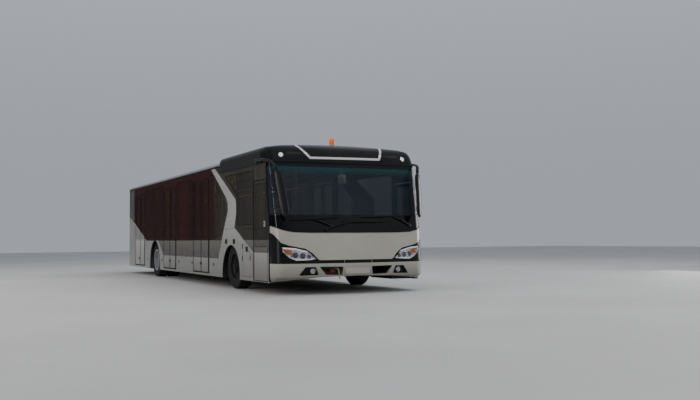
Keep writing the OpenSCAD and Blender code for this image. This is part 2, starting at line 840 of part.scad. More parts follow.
// Raised cab floor with the engine cover, wheel housings, step wells and the wall to the passenger floor
module cab_platform() {
    color("#3c3f42") {
        difference() {
            union() {
                at_s(dash_s) translate([-inner_x, 0, platform_z - 40]) cube([2 * inner_x, platform_s - dash_s, 40]);
                at_s(900) translate([-450, 0, platform_z - 1]) cube([900, 1600, 260]);
                at_s(platform_s - 30) translate([-inner_x, 0, floor_z - floor_t])
                    cube([2 * inner_x, 30, platform_z - floor_z + floor_t]);
            }
            at_s(930) translate([-420, 0, platform_z - 50]) cube([840, 1540, 280]);
            for (m = [0, 1]) mirror([m, 0, 0]) {
                at_s(dash_s - 1) translate([step_x, 0, 700]) cube([half_w, step_l + 30, 400]);
                at_s(axle_s - box_half_l) translate([box_in_front, 0, 0])
                    cube([half_w, 2 * box_half_l, box_top_z]);
            }
        }
        for (m = [0, 1]) mirror([m, 0, 0]) {
            difference() {
                wheel_box(axle_s, box_in_front);
                at_s(axle_s) translate([box_in_front - 1, -beam_w / 2 - 20, 0])
                    cube([box_t + 2, beam_w + 40, rail_front_z + 20]);
            }
            at_s(dash_s) step_well();
        }
    }
}

// Two steps up from the cab door
module step_well() {
    difference() {
        translate([step_x - 30, 0, skirt_z + 10]) cube([inner_x - step_x + 30, step_l + 60, platform_z - skirt_z - 10]);
        translate([step_x, 30, skirt_z + 40]) cube([half_w, step_l, 1000]);
    }
    translate([step_x, 29, 500]) cube([220, step_l + 2, 30]);
}

// Fascia behind the windscreen's base, with the steering column and wheel
module dashboard() {
    color("#222426") intersection() {
        union() {
            front_block(2, 60);
            front_block(3, 60);
        }
        at_s(0) translate([-inner_x + 20, 0, platform_z - 40]) cube([2 * inner_x - 40, dash_s, mask_z + 120 - platform_z]);
    }
    color("#1b1c1e") translate([driver_x, 0, 0]) {
        at_s(dash_s) translate([-60, -1, platform_z + 100]) cube([120, 140, 120]);
        at_s(760) translate([0, 0, 1230]) rotate([-30, 0, 0]) {
            rotate_extrude() translate([215, 0]) circle(r = 15, $fn = 24);
            translate([0, 0, -300]) cylinder(r = 30, h = 310);
            for (a = [0:120:359]) rotate([0, 0, a + 30]) translate([0, -14, -8]) cube([212, 28, 14]);
        }
    }
}

module driver_seat() {
    color("#2d3036") at_s(1150) translate([driver_x, 0, platform_z]) {
        translate([-150, 50, 0]) cube([300, 300, 300]);
        translate([-240, -60, 300]) cube([480, 500, 110]);
        translate([-230, 400, 380]) rotate([-8, 0, 0]) cube([460, 100, 650]);
    }
}

// Row of seats against the rear wall
seat_w = half_w * 0.3;
module passenger_seats() {
    color("#3a4560") for (i = [-2, -1, 0, 1]) at_s(rear_seam_s - 460)
        translate([i * (seat_w + 20) + 10, 0, floor_z]) {
            translate([seat_w / 2 - 100, 100, 0]) cube([200, 250, 400]);
            translate([10, 0, 400]) cube([seat_w - 20, 460, 60]);
            translate([10, 400, 460]) cube([seat_w - 20, 50, 480]);
        }
}

// Overhead rails with stanchions from the floor to the roof
rail_x0 = 450;
rail_in = 380;
grip_r = 17;
STANCHION_S = [platform_s + 580, DOORS[0][1] + door_w / 2 + 250, DOORS[1][1] - door_w / 2 - 335, BAYS[1][0] + 115, rear_door_s0 - 460,
    rear_seam_s - 580];
module handrails() {
    lining_z = crown_z(cant_z + roof_rise - roof_t, crown_r - roof_t, rail_x0 + grip_r);
    color("#d8b21c") for (m = [0, 1]) mirror([m, 0, 0]) {
        at_s(platform_s + rail_in) translate([rail_x0, 0, cant_z - 410]) rotate([-90, 0, 0])
            cylinder(r = grip_r, h = rear_seam_s - platform_s - 2 * rail_in, $fn = 24);
        for (s = STANCHION_S) at_s(s) translate([rail_x0, 0, floor_z])
            cylinder(r = grip_r, h = lining_z - floor_z - 2 * seat_gap, $fn = 24);
    }
}

// Glass of a cab door
cab_pane = [[cab_door_front_s + 80, 900], [cab_door_front_s + 80, cab_door_bend_z],
    [cab_door_top_s + 80, cab_door_top_z - 80], [cab_door_rear_s - 80, cab_door_top_z - 80],
    [cab_door_rear_s - 80, 900]];

// One cab door, turning on pins near its rear edge
module cab_door(side) {
    color("#2d2c2e") on_side(side) {
        side_plate(-half_w + 3, leaf_t) difference() {
            polygon(cab_door_points(door_gap));
            polygon(cab_pane);
        }
        side_plate(-half_w + 3, pane_t) polygon(cab_pane);
        at_s(cab_door_rear_s - door_gap - 10) translate([-half_w + 11, 0, cab_door_bottom_z + seat_gap])
            cylinder(r = 6, h = cab_door_top_z - cab_door_bottom_z - 2 * seat_gap);
    }
}

// One leaf of a double door: a is the leaf nearer the front, b the leaf nearer the rear
module leaf(side, door, half) {
    y0 = -door_w / 2 + door_gap;
    color("#332a2c") on_side(side) at_s(door[1]) mirror([0, half == "b" ? 1 : 0, 0]) {
        translate([-half_w + 5, 0, 0]) rotate([90, 0, 90]) {
            linear_extrude(height = leaf_t) difference() {
                translate([y0, door_bottom_z]) square([-5 - y0, door_top_z - door_gap - door_bottom_z]);
                leaf_pane(y0);
            }
            linear_extrude(height = pane_t) leaf_pane(y0);
        }
        translate([-half_w + 5 + leaf_t, -door_w / 2 + post_in, floor_z + seat_gap])
            cylinder(r = post_r, h = door_top_z - floor_z - 2 * seat_gap);
    }
}

module leaf_pane(y0) {
    z0 = glass_z + leaf_frame;
    translate([y0 + leaf_frame, z0])
        square([-5 - y0 - 2 * leaf_frame, door_top_z - door_gap - leaf_frame - z0]);
}

side_wall(-1);  // side_wall_right
side_wall(1);  // side_wall_left
side_panels(-1);  // side_panels_right
side_panels(1);  // side_panels_left
side_windows(-1);  // side_windows_right
side_windows(1);  // side_windows_left
roof();
cab_roof();
visor();
windscreen();
front_mask();
front_cheeks();
front_bumper();
headlamps();
fog_lamps();
marker_lamps();
beacon();
mirrors();
wipers();
tow_eyes();
rear_wall();
rear_window();
rear_bumper();
tail_lamps();
rear_lid();
floor();
chassis_frame();
front_axle();
rear_axle();
knuckle(-1);  // knuckle_right
knuckle(1);  // knuckle_left
front_rim(-1);  // front_rim_right
front_rim(1);  // front_rim_left
front_tyre(-1);  // front_tyre_right
front_tyre(1);  // front_tyre_left
rear_rims(-1);  // rear_rims_right
rear_rims(1);  // rear_rims_left
rear_tyres(-1);  // rear_tyres_right
rear_tyres(1);  // rear_tyres_left
engine_block();
cab_platform();
dashboard();
driver_seat();
passenger_seats();
handrails();
cab_door(-1);  // cab_door_right
cab_door(1);  // cab_door_left
leaf(-1, DOORS[0], "a");  // leaf_right_front_a
leaf(-1, DOORS[0], "b");  // leaf_right_front_b
leaf(-1, DOORS[1], "a");  // leaf_right_middle_a
leaf(-1, DOORS[1], "b");  // leaf_right_middle_b
leaf(-1, DOORS[2], "a");  // leaf_right_rear_a
leaf(-1, DOORS[2], "b");  // leaf_right_rear_b
leaf(1, DOORS[0], "a");  // leaf_left_front_a
leaf(1, DOORS[0], "b");  // leaf_left_front_b
leaf(1, DOORS[1], "a");  // leaf_left_middle_a
leaf(1, DOORS[1], "b");  // leaf_left_middle_b
leaf(1, DOORS[2], "a");  // leaf_left_rear_a
leaf(1, DOORS[2], "b");  // leaf_left_rear_b
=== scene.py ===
# %% [markdown]
# A low-floor airport bus. The CAD frame holds every panel, door, wheel and lamp at its real place. This
# script gives them their finishes and adds what the frame leaves plain: tread, bolts, seals, trim and the
# lamps' insides. Lengths are in metres. X runs across the bus towards its left side, the front faces -Y, and
# Z is up.

# %% The frame and the tools
import math

import bmesh
import bpy
import numpy as np
from mathutils import Matrix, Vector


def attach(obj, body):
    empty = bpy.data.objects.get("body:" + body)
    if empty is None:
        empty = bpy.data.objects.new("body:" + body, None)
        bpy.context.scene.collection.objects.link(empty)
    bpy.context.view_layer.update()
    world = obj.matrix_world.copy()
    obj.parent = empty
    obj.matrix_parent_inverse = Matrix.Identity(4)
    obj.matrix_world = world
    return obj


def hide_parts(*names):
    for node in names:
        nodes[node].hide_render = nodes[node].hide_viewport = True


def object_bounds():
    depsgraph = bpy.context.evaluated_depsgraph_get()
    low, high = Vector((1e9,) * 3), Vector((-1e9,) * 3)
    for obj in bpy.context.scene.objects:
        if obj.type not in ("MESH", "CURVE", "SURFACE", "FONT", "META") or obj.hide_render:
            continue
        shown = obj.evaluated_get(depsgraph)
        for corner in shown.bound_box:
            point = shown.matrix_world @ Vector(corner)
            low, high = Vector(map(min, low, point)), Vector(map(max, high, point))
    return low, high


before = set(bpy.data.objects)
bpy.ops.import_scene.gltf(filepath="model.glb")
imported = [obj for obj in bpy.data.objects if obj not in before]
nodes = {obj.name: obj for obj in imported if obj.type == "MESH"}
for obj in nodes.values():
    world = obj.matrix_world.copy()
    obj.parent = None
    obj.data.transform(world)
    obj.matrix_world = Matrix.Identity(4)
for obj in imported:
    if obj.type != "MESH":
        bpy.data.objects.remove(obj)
cad_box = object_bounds()
print("CAD box", [[round(float(v), 3) for v in corner] for corner in cad_box])

# %% [markdown]
# Two sizes drive the rest: half the body's width, out to the face of a side wall, and half its length. Both
# are read from the frame, so that what is added stays on the body. A place along the bus is given as its
# station, the distance back from the foremost point.

# %% Half width and half length
HALF_W = round(max(corner[0] for corner in nodes["side_wall_left"].bound_box), 4)
HALF_L = round(float(cad_box[1][1]), 4)
print("half width", HALF_W, "half length", HALF_L)

# %% [markdown]
# The camera stands low, as a person would hold it, ahead of the bus and to its right. Its place, its turn and
# its lens were found by laying the bus's own corners over the photograph.

# %% The camera
CAMERA_PLACE = (-7.121, -21.241, 1.042)
CAMERA_AZIMUTH = -25.89
CAMERA_PITCH = 2.64
CAMERA_ROLL = -0.44
FOCAL_PIXELS = 839.9
IMAGE_WIDTH = 700
SENSOR = 36.0


def place_camera():
    """Level camera turned about the vertical, then pitched up, then rolled about its own line of sight."""
    data = bpy.data.cameras.new("camera")
    data.sensor_width = SENSOR
    data.lens = FOCAL_PIXELS * SENSOR / IMAGE_WIDTH
    camera = bpy.data.objects.new("camera", data)
    bpy.context.collection.objects.link(camera)
    turn = Matrix.Rotation(math.radians(CAMERA_AZIMUTH), 4, "Z")
    pitch = Matrix.Rotation(math.radians(90 + CAMERA_PITCH), 4, "X")
    roll = Matrix.Rotation(math.radians(CAMERA_ROLL), 4, "Z")
    camera.matrix_world = Matrix.Translation(CAMERA_PLACE) @ turn @ pitch @ roll
    bpy.context.scene.camera = camera
    return camera


camera = place_camera()
print("lens", round(camera.data.lens, 2), "mm")

# %% [markdown]
# Every piece below is a grid of points worked out with numpy and handed to the mesh whole. One helper turns
# such a grid into a mesh: rows run one way, columns the other, and either may close on itself. Ends can be
# capped. A second helper gives the sharp edges their crease, so that round faces look round and flat ones
# flat.

# %% From grids of points to pieces
SHARP = math.radians(32)


def finish_mesh(mesh, mend=True):
    """Merges doubled points, turns all faces outwards and keeps edges over 32 degrees sharp."""
    if mend:
        work = bmesh.new()
        work.from_mesh(mesh)
        bmesh.ops.remove_doubles(work, verts=work.verts, dist=0.00002)
        bmesh.ops.recalc_face_normals(work, faces=work.faces)
        work.to_mesh(mesh)
        work.free()
    mesh.shade_smooth()
    mesh.set_sharp_from_angle(angle=SHARP)


def grid_faces(rows, columns, wrap_rows, wrap_columns):
    """Quads of a grid: face (i, j) joins points (i, j), (i, j+1), (i+1, j+1) and (i+1, j). Where the grid
    wraps, the last row or column joins the first."""
    i, j = np.meshgrid(np.arange(rows if wrap_rows else rows - 1),
        np.arange(columns if wrap_columns else columns - 1), indexing="ij")
    i2, j2 = (i + 1) % rows, (j + 1) % columns
    corners = [i * columns + j, i * columns + j2, i2 * columns + j2, i2 * columns + j]
    return np.stack(corners, axis=-1).reshape(-1, 4)


class Shape:
    """Points and faces gathered from several grids, which become one piece."""

    def __init__(self):
        self.points, self.faces, self.count = [], [], 0

    def add(self, points, faces):
        """Appends points and faces, the faces' numbers moved on by the points that are there already."""
        self.points.append(np.asarray(points, float).reshape(-1, 3))
        self.faces += (np.asarray(faces) + self.count).tolist()
        self.count += len(self.points[-1])
        return self

    def grid(self, points, wrap_rows=False, wrap_columns=False, caps=False):
        """A rows x columns grid. With caps, a many-sided face closes the first row and another the last."""
        rows, columns = points.shape[:2]
        start = self.count
        self.add(points, grid_faces(rows, columns, wrap_rows, wrap_columns))
        if caps:
            ring = np.arange(columns)
            self.faces += [(start + ring).tolist(), (start + (rows - 1) * columns + ring[::-1]).tolist()]
        return self

    def piece(self, name, material, body="body", slot=None):
        """The gathered shape as one object, which rides on a body of the frame."""
        mesh = bpy.data.meshes.new(name)
        mesh.from_pydata(np.concatenate(self.points).tolist(), [], self.faces)
        finish_mesh(mesh)
        piece = bpy.data.objects.new(name, mesh)
        bpy.context.collection.objects.link(piece)
        mesh.materials.append(material)
        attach(piece, body)
        return piece


print("a 3 x 4 grid that closes both ways has", len(grid_faces(3, 4, True, True)), "faces")

# %% [markdown]
# Most trim on a vehicle is a profile carried along a path: seals, strips, arms, rods. The path's own
# direction and a given "up" direction make a frame at each point, and the profile is placed in it. Turned
# parts such as tyres, lamps and hub caps are a profile carried round an axis.

# %% Profiles along paths and round axes
def unit(v):
    return v / np.maximum(np.linalg.norm(v, axis=-1, keepdims=True), 1e-9)


def along(path, up, profile, closed=False):
    """Point (i, j) = path[i] + across[i] * profile[j].x + up[i] * profile[j].y. Across is the direction of
    travel crossed with up."""
    path = np.asarray(path, float)
    if closed:
        step = np.roll(path, -1, 0) - np.roll(path, 1, 0)
    else:
        step = np.gradient(path, axis=0)
    direction = unit(step)
    up = unit(np.broadcast_to(np.asarray(up, float), path.shape))
    up = unit(up - direction * np.sum(up * direction, axis=1, keepdims=True))
    across = np.cross(direction, up)
    profile = np.asarray(profile, float)
    return path[:, None] + across[:, None] * profile[None, :, :1] + up[:, None] * profile[None, :, 1:]


def ellipse(a, b, n=12, power=2.0):
    """n points of a (super)ellipse: x = a cos|^(2/p), y = b sin|^(2/p)."""
    t = np.arange(n) * 2 * np.pi / n
    c, s = np.cos(t), np.sin(t)
    x, y = (np.sign(v) * np.abs(v) ** (2 / power) for v in (c, s))
    return np.stack([a * x, b * y], axis=1)


def strip_profile(width, height):
    """Flat strip with rounded upper edges, lying on y = 0 and sunk by a quarter of its height."""
    w, h = width / 2, height
    return np.array([[-w, -h / 4], [w, -h / 4], [w, h * 0.6], [w * 0.8, h], [-w * 0.8, h], [-w, h * 0.6]])


def dense(points, step=0.05):
    """The same broken line with points about every step metres."""
    points = np.asarray(points, float)
    length = np.concatenate([[0], np.cumsum(np.linalg.norm(np.diff(points, axis=0), axis=1))])
    t = np.union1d(length, np.linspace(0, length[-1], max(2, int(length[-1] / step) + 1)))
    return np.stack([np.interp(t, length, points[:, k]) for k in range(points.shape[1])], axis=1)


def smooth(points, n=24, closed=False):
    """Catmull-Rom curve through the points, n steps for each span."""
    p = np.asarray(points, float)
    if closed:
        p = np.concatenate([p[-1:], p, p[:2]])
    else:
        p = np.concatenate([2 * p[:1] - p[1:2], p, 2 * p[-1:] - p[-2:-1]])
    t = (np.arange(n) / n)[None, :, None]
    a, b, c, d = p[:-3, None], p[1:-2, None], p[2:-1, None], p[3:, None]
    square, cube = 2 * a - 5 * b + 4 * c - d, 3 * b - a - 3 * c + d
    curve = 0.5 * (2 * b + (c - a) * t + square * t ** 2 + cube * t ** 3)
    curve = curve.reshape(-1, p.shape[1])
    return curve if closed else np.concatenate([curve, p[-2:-1]])


def turned(profile, centre, axis, n=48):
    """A profile of (radius r, distance d along the axis), turned round the axis.
    Point (i, j) = centre + axis * d_i + r_i (cos t_j, sin t_j)."""
    profile = np.asarray(profile, float)
    axis = unit(np.asarray(axis, float))
    side = unit(np.cross(axis, [0.0, 0.3, 1.0]))
    other = np.cross(axis, side)
    t = (np.arange(n) * 2 * np.pi / n)[None, :, None]
    ring = side * np.cos(t) + other * np.sin(t)
    return np.asarray(centre) + profile[:, 1, None, None] * axis + profile[:, :1, None] * ring


print("a quarter of a metre in steps of 5 cm has", len(dense([[0, 0, 0], [0.25, 0, 0]])), "points")

# %% [markdown]
# Three shapes come back all over the bus: a round rod, a bead of rubber on a face, and a box with its edges
# cut back. Each is one call, so that the cells below stay short.

# %% Rods, beads and boxes
def tube(shape, path, radius, n=10):
    """Round rod along a path, its ends capped."""
    path = np.asarray(path, float)
    direction = path[-1] - path[0]
    steep = abs(direction[2]) >= 0.8 * np.linalg.norm(direction)
    up = np.array([0.0, 1.0, 0.0]) if steep else np.array([0.0, 0.0, 1.0])
    return shape.grid(along(path, up, ellipse(radius, radius, n)), wrap_columns=True, caps=True)


def bead(shape, path, up, width, height, closed=False):
    """Strip that lies along a path, on a face whose outward direction is up."""
    points = along(path, up, strip_profile(width, height), closed)
    return shape.grid(points, wrap_rows=closed, wrap_columns=True, caps=not closed)


def block(shape, low, high, bevel=0.004):
    """Box between two corners with its edges cut back: two rings of eight points, closed by caps."""
    (x0, y0, z0), (x1, y1, z1) = low, high
    b = min(bevel, (x1 - x0) / 3, (y1 - y0) / 3, (z1 - z0) / 3)

    def ring(i, z):
        """Eight points round the box at height z, drawn in by i."""
        return [(x0 + i, y0 + b + i, z), (x0 + b + i, y0 + i, z), (x1 - b - i, y0 + i, z),
            (x1 - i, y0 + b + i, z), (x1 - i, y1 - b - i, z), (x1 - b - i, y1 - i, z), (x0 + b + i, y1 - i, z),
            (x0 + i, y1 - b - i, z)]
    rings = np.array([ring(b, z0), ring(0, z0 + b), ring(0, z1 - b), ring(b, z1)])
    return shape.grid(rings, wrap_columns=True, caps=True)


print("a box has", len(block(Shape(), (0, 0, 0), (1, 1, 1)).faces), "faces")


# %% [markdown]
# A CAD node comes as loose flat triangles, so a curved panel would show its facets. A copy with its points
# merged and its shallow edges smoothed stands in for it. Its shape isn't changed.

# %% Smooth copies of CAD panels
def smooth_copy(node, material, body="body", bevel=0.0):
    """Copy of a node's mesh with doubles merged. Edges over 32 degrees stay sharp, or get a small bevel."""
    source = nodes[node]
    mesh = source.data.copy()
    mesh.name = node + "_skin"
    work = bmesh.new()
    work.from_mesh(mesh)
    bmesh.ops.remove_doubles(work, verts=work.verts, dist=0.00005)
    bmesh.ops.dissolve_limit(work, angle_limit=0.002, verts=work.verts, edges=work.edges)
    work.to_mesh(mesh)
    work.free()
    finish_mesh(mesh, mend=False)
    copy = bpy.data.objects.new(node + "_skin", mesh)
    bpy.context.collection.objects.link(copy)
    mesh.materials.clear()
    mesh.materials.append(material)
    if bevel:
        cut = copy.modifiers.new("edges", "BEVEL")
        cut.width, cut.segments, cut.limit_method, cut.angle_limit = bevel, 2, "ANGLE", math.radians(40)
        cut.harden_normals = True
    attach(copy, body)
    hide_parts(node)
    return copy


print("nodes in the frame", len(nodes))

# %% [markdown]
# A finish is more than a colour. Paint has a faint orange-peel ripple and collects road dust low down, rubber
# is mottled, and cloth has threads. Each material here is a Principled shader fed by noise that reads the
# piece's own coordinates in metres, so a pattern has a real size and stays where it is when a door opens. The
# small builder class keeps those networks short.

# %% A builder for finishes
class Finish:
    """A material in the making: a Principled shader, the piece's coordinates, and short ways to feed the one
    from the other."""

    def __init__(self, name, color, roughness=0.5, metallic=0.0, **sockets):
        self.material = bpy.data.materials.new(name)
        self.material.use_nodes = True
        self.tree = self.material.node_tree
        self.shader = self.tree.nodes["Principled BSDF"]
        self.color = tuple(color) + (1,)
        self.shader.inputs["Base Color"].default_value = self.color
        self.shader.inputs["Roughness"].default_value = roughness
        self.shader.inputs["Metallic"].default_value = metallic
        for socket, value in sockets.items():
            self.shader.inputs[socket.replace("_", " ")].default_value = value
        self.place = self.node("ShaderNodeTexCoord").outputs["Object"]
        self.split = self.node("ShaderNodeSeparateXYZ", Vector=self.place)
        self.x, self.y, self.z = (self.split.outputs[k] for k in "XYZ")

    def node(self, kind, **inputs):
        new = self.tree.nodes.new(kind)
        for name, value in inputs.items():
            self.put(new.inputs[name.replace("_", " ")], value)
        return new

    def put(self, socket, value):
        if hasattr(value, "is_output"):
            self.tree.links.new(value, socket)
        elif value is not None:
            socket.default_value = value

    def sum(self, kind, a, b=0.0, c=0.0, clamp=False):
        new = self.tree.nodes.new("ShaderNodeMath")
        new.operation, new.use_clamp = kind, clamp
        for socket, value in zip(new.inputs, (a, b, c)):
            self.put(socket, value)
        return new.outputs[0]

    def remap(self, value, low, high, to_low=0.0, to_high=1.0):
        """Value scaled from low..high to to_low..to_high and held there."""
        return self.node("ShaderNodeMapRange", Value=value, From_Min=low, From_Max=high, To_Min=to_low,
            To_Max=to_high).outputs[0]

    def noise(self, scale, detail=3.0, stretch=(1, 1, 1), rough=0.5):
        where = self.place
        if stretch != (1, 1, 1):
            where = self.node("ShaderNodeMapping", Vector=self.place, Scale=stretch).outputs[0]
        new = self.node("ShaderNodeTexNoise", Vector=where, Scale=scale, Detail=detail, Roughness=rough)
        return new.outputs["Fac"]

    def mix(self, amount, a, b):
        new = self.tree.nodes.new("ShaderNodeMix")
        new.data_type = "RGBA"
        self.put(new.inputs[0], amount)
        for socket, value in ((new.inputs[6], a), (new.inputs[7], b)):
            self.put(socket, value if hasattr(value, "is_output") else tuple(value)[:3] + (1,))
        return new.outputs[2]

    def over(self, coordinate, edge, soft=0.0015):
        """1 where the coordinate is over the edge, 0 where it is under."""
        if hasattr(edge, "is_output"):
            return self.remap(self.sum("SUBTRACT", coordinate, edge), -soft, soft)
        return self.remap(coordinate, edge - soft, edge + soft)

    def within(self, coordinate, low, high):
        """1 where the coordinate is between low and high."""
        under = self.sum("SUBTRACT", 1.0, self.over(coordinate, high))
        return self.sum("MULTIPLY", self.over(coordinate, low), under)

    def bump(self, height, strength, distance):
        new = self.node("ShaderNodeBump", Height=height, Strength=strength, Distance=distance)
        self.put(self.shader.inputs["Normal"], new.outputs[0])

    def feed(self, **sockets):
        for name, value in sockets.items():
            self.put(self.shader.inputs[name.replace("_", " ")], value)
        return self


print("nodes of a bare finish", len(Finish("bare", (0.5, 0.5, 0.5)).tree.nodes))
bpy.data.materials.remove(bpy.data.materials["bare"])

# %% [markdown]
# Dirt follows height on a vehicle. Dust lies in specks that thin out upwards. The lowest panels get darker
# towards the ground: partly a film off the road, partly painted shade and painted reflection of the dark
# ground. Both are layers over the paint's own colour, mixed in by height, so they run on from a wall to the
# door beside it.

# %% Dust, road film with painted shade, and paint
DUST = (0.19, 0.175, 0.155)
# Dark colour low down: road film, and painted shade and reflection of the dark ground
GRIME_SHADE = (0.05, 0.048, 0.044)


def grimed_shaded(finish, color, low, high, most, rear=1.0):
    """Road film and painted shade of the dark ground: a dark layer, densest at height low and gone at height
    high. Behind, it is thinner by the factor rear."""
    layer = finish.remap(finish.z, low, high, most, 0.0)
    share = finish.remap(finish.y, 0.5, 5.5, 1.0, rear)
    return finish.mix(finish.sum("MULTIPLY", layer, share), color, GRIME_SHADE)


def dusted(finish, most):
    """How much dust lies on a finish: specks that thin out with height and are gone at 0.95 m."""
    low = finish.remap(finish.z, 0.15, 0.95, 1.0, 0.0)
    speck = finish.remap(finish.noise(9.0, 6.0, rough=0.65), 0.35, 0.75)
    return finish.sum("MULTIPLY", finish.sum("MULTIPLY", low, speck), most, clamp=True)


def weather(finish, color, roughness, dust):
    """Feeds colour and roughness: slow patches, dust low down, and the paint's own fine ripple."""
    dirt = dusted(finish, dust)
    patch = finish.remap(finish.noise(1.3, 2.0), 0.3, 0.7, 0.0, 0.10)
    worn = finish.mix(patch, color, (0.05, 0.05, 0.05))
    finish.feed(Base_Color=finish.mix(dirt, worn, DUST))
    grain = finish.remap(finish.noise(40.0, 4.0), 0.3, 0.7, roughness * 0.8, roughness * 1.25)
    finish.feed(Roughness=finish.sum("ADD", grain, finish.sum("MULTIPLY", dirt, 0.5), clamp=True))
    finish.bump(finish.noise(260.0, 1.0), 0.04, 0.001)
    return finish


LINING = (0.040, 0.039, 0.038)


def lined(finish, color):
    """The colour on the outer faces of a side, and grey lining over 12 mm inside them."""
    return finish.mix(finish.over(finish.sum("ABSOLUTE", finish.x), HALF_W - 0.012), LINING, color)


def paint(name, color, roughness, metallic, coat, dust=0.5, gloss=0.5, grime_shade=None, lining=False):
    """Sprayed paint under a clear coat, weathered. Where asked, it takes road film with painted shade low down,
    and an inner lining.
    """
    finish = Finish(name, color, roughness, metallic, Coat_Weight=coat, Coat_Roughness=0.08,
        Specular_IOR_Level=gloss)
    # Low panels darken towards the ground: road film and painted shade
    if grime_shade:
        color = grimed_shaded(finish, color, *grime_shade)
    return weather(finish, lined(finish, color) if lining else color, roughness, dust).material


print("dust", DUST, "and road film", GRIME_SHADE)

# %% [markdown]
# The livery runs over walls and doors alike: dark film above, a taupe band below the windows, silver at the
# skirts. It is painted by height, so that it stays in line where a door meets the wall. At the rear doors the
# silver's edge rises towards the back, so there the edge is a sloping line.

# %% Colours of the livery, and the painted finishes
SILVER = (0.40, 0.40, 0.385)
TAUPE = (0.130, 0.122, 0.110)
# Silver skirts: road film and painted shade from height low to high, most, and the share left at the rear
SIDE_GRIME_SHADE = (0.30, 1.30, 0.74, 0.30)
FILM = (0.023, 0.0080, 0.0074)
PILLAR_GREY = (0.105, 0.105, 0.105)
CAB_END_Y = -2.9
REAR_PILLAR_Y = 5.95
CREAM = (0.370, 0.358, 0.308)
FILM_CAB = (0.035, 0.033, 0.029)
FILM_EDGE = 1.03
BELT = 0.625


def film_color(finish):
    """Dark film: warm brown along the cabin and greyer beside the cab, in slow waves as on a real pane."""
    cab = finish.over(finish.y, CAB_END_Y, 0.5)
    wave = finish.noise(1.6, 3.0, stretch=(1, 1.0, 0.25))
    warm = finish.mix(finish.remap(wave, 0.3, 0.7), FILM, (0.041, 0.0125, 0.0108))
    side = finish.mix(cab, finish.mix(finish.remap(wave, 0.35, 0.65), FILM_CAB, (0.055, 0.05, 0.043)), warm)
    return finish.mix(finish.over(finish.y, REAR_PILLAR_Y), side, PILLAR_GREY)


def livery(name, silver_z=None, slope=0.0, panes=()):
    """Film above FILM_EDGE, taupe below it, and silver below silver_z + slope * y. Taupe and silver get darker
    towards the ground: road film, and painted shade and reflection of the dark ground. panes are the doors'
    glass areas as (y low, y high, z low, z high), where the film lets some light through."""
    finish = Finish(name, FILM, 0.1, Specular_IOR_Level=0.16)
    # Taupe darkens from 1.02 m down to 0.62 m: road film and painted reflection of the dark ground
    taupe = grimed_shaded(finish, TAUPE, 0.62, 1.02, 0.95, 0.8)
    color = finish.mix(finish.over(finish.z, FILM_EDGE), taupe, film_color(finish))
    rough = finish.remap(finish.z, FILM_EDGE - 0.002, FILM_EDGE, 0.24, 0.07)
    if silver_z is not None:
        edge = finish.sum("MULTIPLY_ADD", finish.y, slope, silver_z)
        silver = finish.over(finish.z, edge)
        color = finish.mix(silver, grimed_shaded(finish, SILVER, *SIDE_GRIME_SHADE), color)
        rough = finish.sum("MULTIPLY", rough, finish.remap(silver, 0, 1, 1.4, 1.0))
    dirt = dusted(finish, 0.5)
    finish.feed(Base_Color=finish.mix(dirt, lined(finish, color), DUST))
    finish.feed(Roughness=finish.sum("ADD", rough, finish.sum("MULTIPLY", dirt, 0.4), clamp=True))
    fine = finish.sum("MULTIPLY", finish.noise(260.0, 1.0), 0.02)
    finish.bump(finish.sum("ADD", finish.noise(2.2, 1.0, stretch=(1, 1, 0.4)), fine), 0.12, 0.02)
    alpha = None
    for y0, y1, z0, z1 in panes:
        pane = finish.sum("MULTIPLY", finish.within(finish.y, y0, y1), finish.within(finish.z, z0, z1))
        alpha = pane if alpha is None else finish.sum("MAXIMUM", alpha, pane)
    if alpha is not None:
        finish.feed(Alpha=finish.remap(alpha, 0.0, 1.0, 1.0, 0.72))
    return finish.material


silver_paint = paint("silver_paint", SILVER, 0.3, 0.15, 0.4)
# Skirts and bumper darken low down: road film and painted shade, on the bumper where it curves under
silver_side = paint("silver_side", SILVER, 0.3, 0.15, 0.4, grime_shade=SIDE_GRIME_SHADE, lining=True)
cream_bumper = paint("cream_bumper", CREAM, 0.30, 0.0, 0.35, dust=0.3, grime_shade=(0.20, 0.58, 0.88))
cream_paint = paint("cream_paint", CREAM, 0.30, 0.0, 0.35, dust=0.3)
roof_paint = paint("roof_paint", (0.20, 0.205, 0.21), 0.42, 0.0, 0.2, dust=0.0)
cab_roof_paint = paint("cab_roof_paint", (0.018, 0.0185, 0.020), 0.42, 0.1, 0.0, dust=0.0, gloss=0.3)
black_gloss = paint("black_gloss", (0.0045, 0.005, 0.0055), 0.24, 0.0, 0.0, dust=0.04, gloss=0.16)
print("painted finishes made")


# %% [markdown]
# Rubber, bare metal, moulded plastic and cast iron differ mostly in roughness and grain. Tyres are black
# rubber with a trace of dust low down. The rear steel wheels are sprayed silver, with dust low down. The front
# ones are painted near-black instead: painted shade of the dark wheel arches.

# %% Rubber, metal and plastic
def plain(name, color, roughness, metallic=0.0, grain=60.0, depth=0.15, spread=0.25, dust=0.0, **sockets):
    """Colour patches and bump from one noise at the grain's scale per metre."""
    finish = Finish(name, color, roughness, metallic, **sockets)
    fine = finish.noise(grain, 5.0)
    dark = tuple(c * (1 - spread) for c in color)
    light = tuple(min(1.0, c * (1 + spread)) for c in color)
    shade = finish.mix(finish.remap(fine, 0.3, 0.7), dark, light)
    if dust:
        low = finish.remap(finish.z, 0.0, 1.1, dust, 0.0)
        speck = finish.remap(finish.noise(7.0, 6.0), 0.35, 0.7)
        shade = finish.mix(finish.sum("MULTIPLY", low, speck), shade, DUST)
    rough = finish.remap(finish.noise(grain / 3, 3.0), 0.3, 0.7, roughness * 0.8, min(1.0, roughness * 1.2))
    finish.feed(Base_Color=shade, Roughness=rough)
    finish.bump(fine, depth, 0.001)
    return finish.material


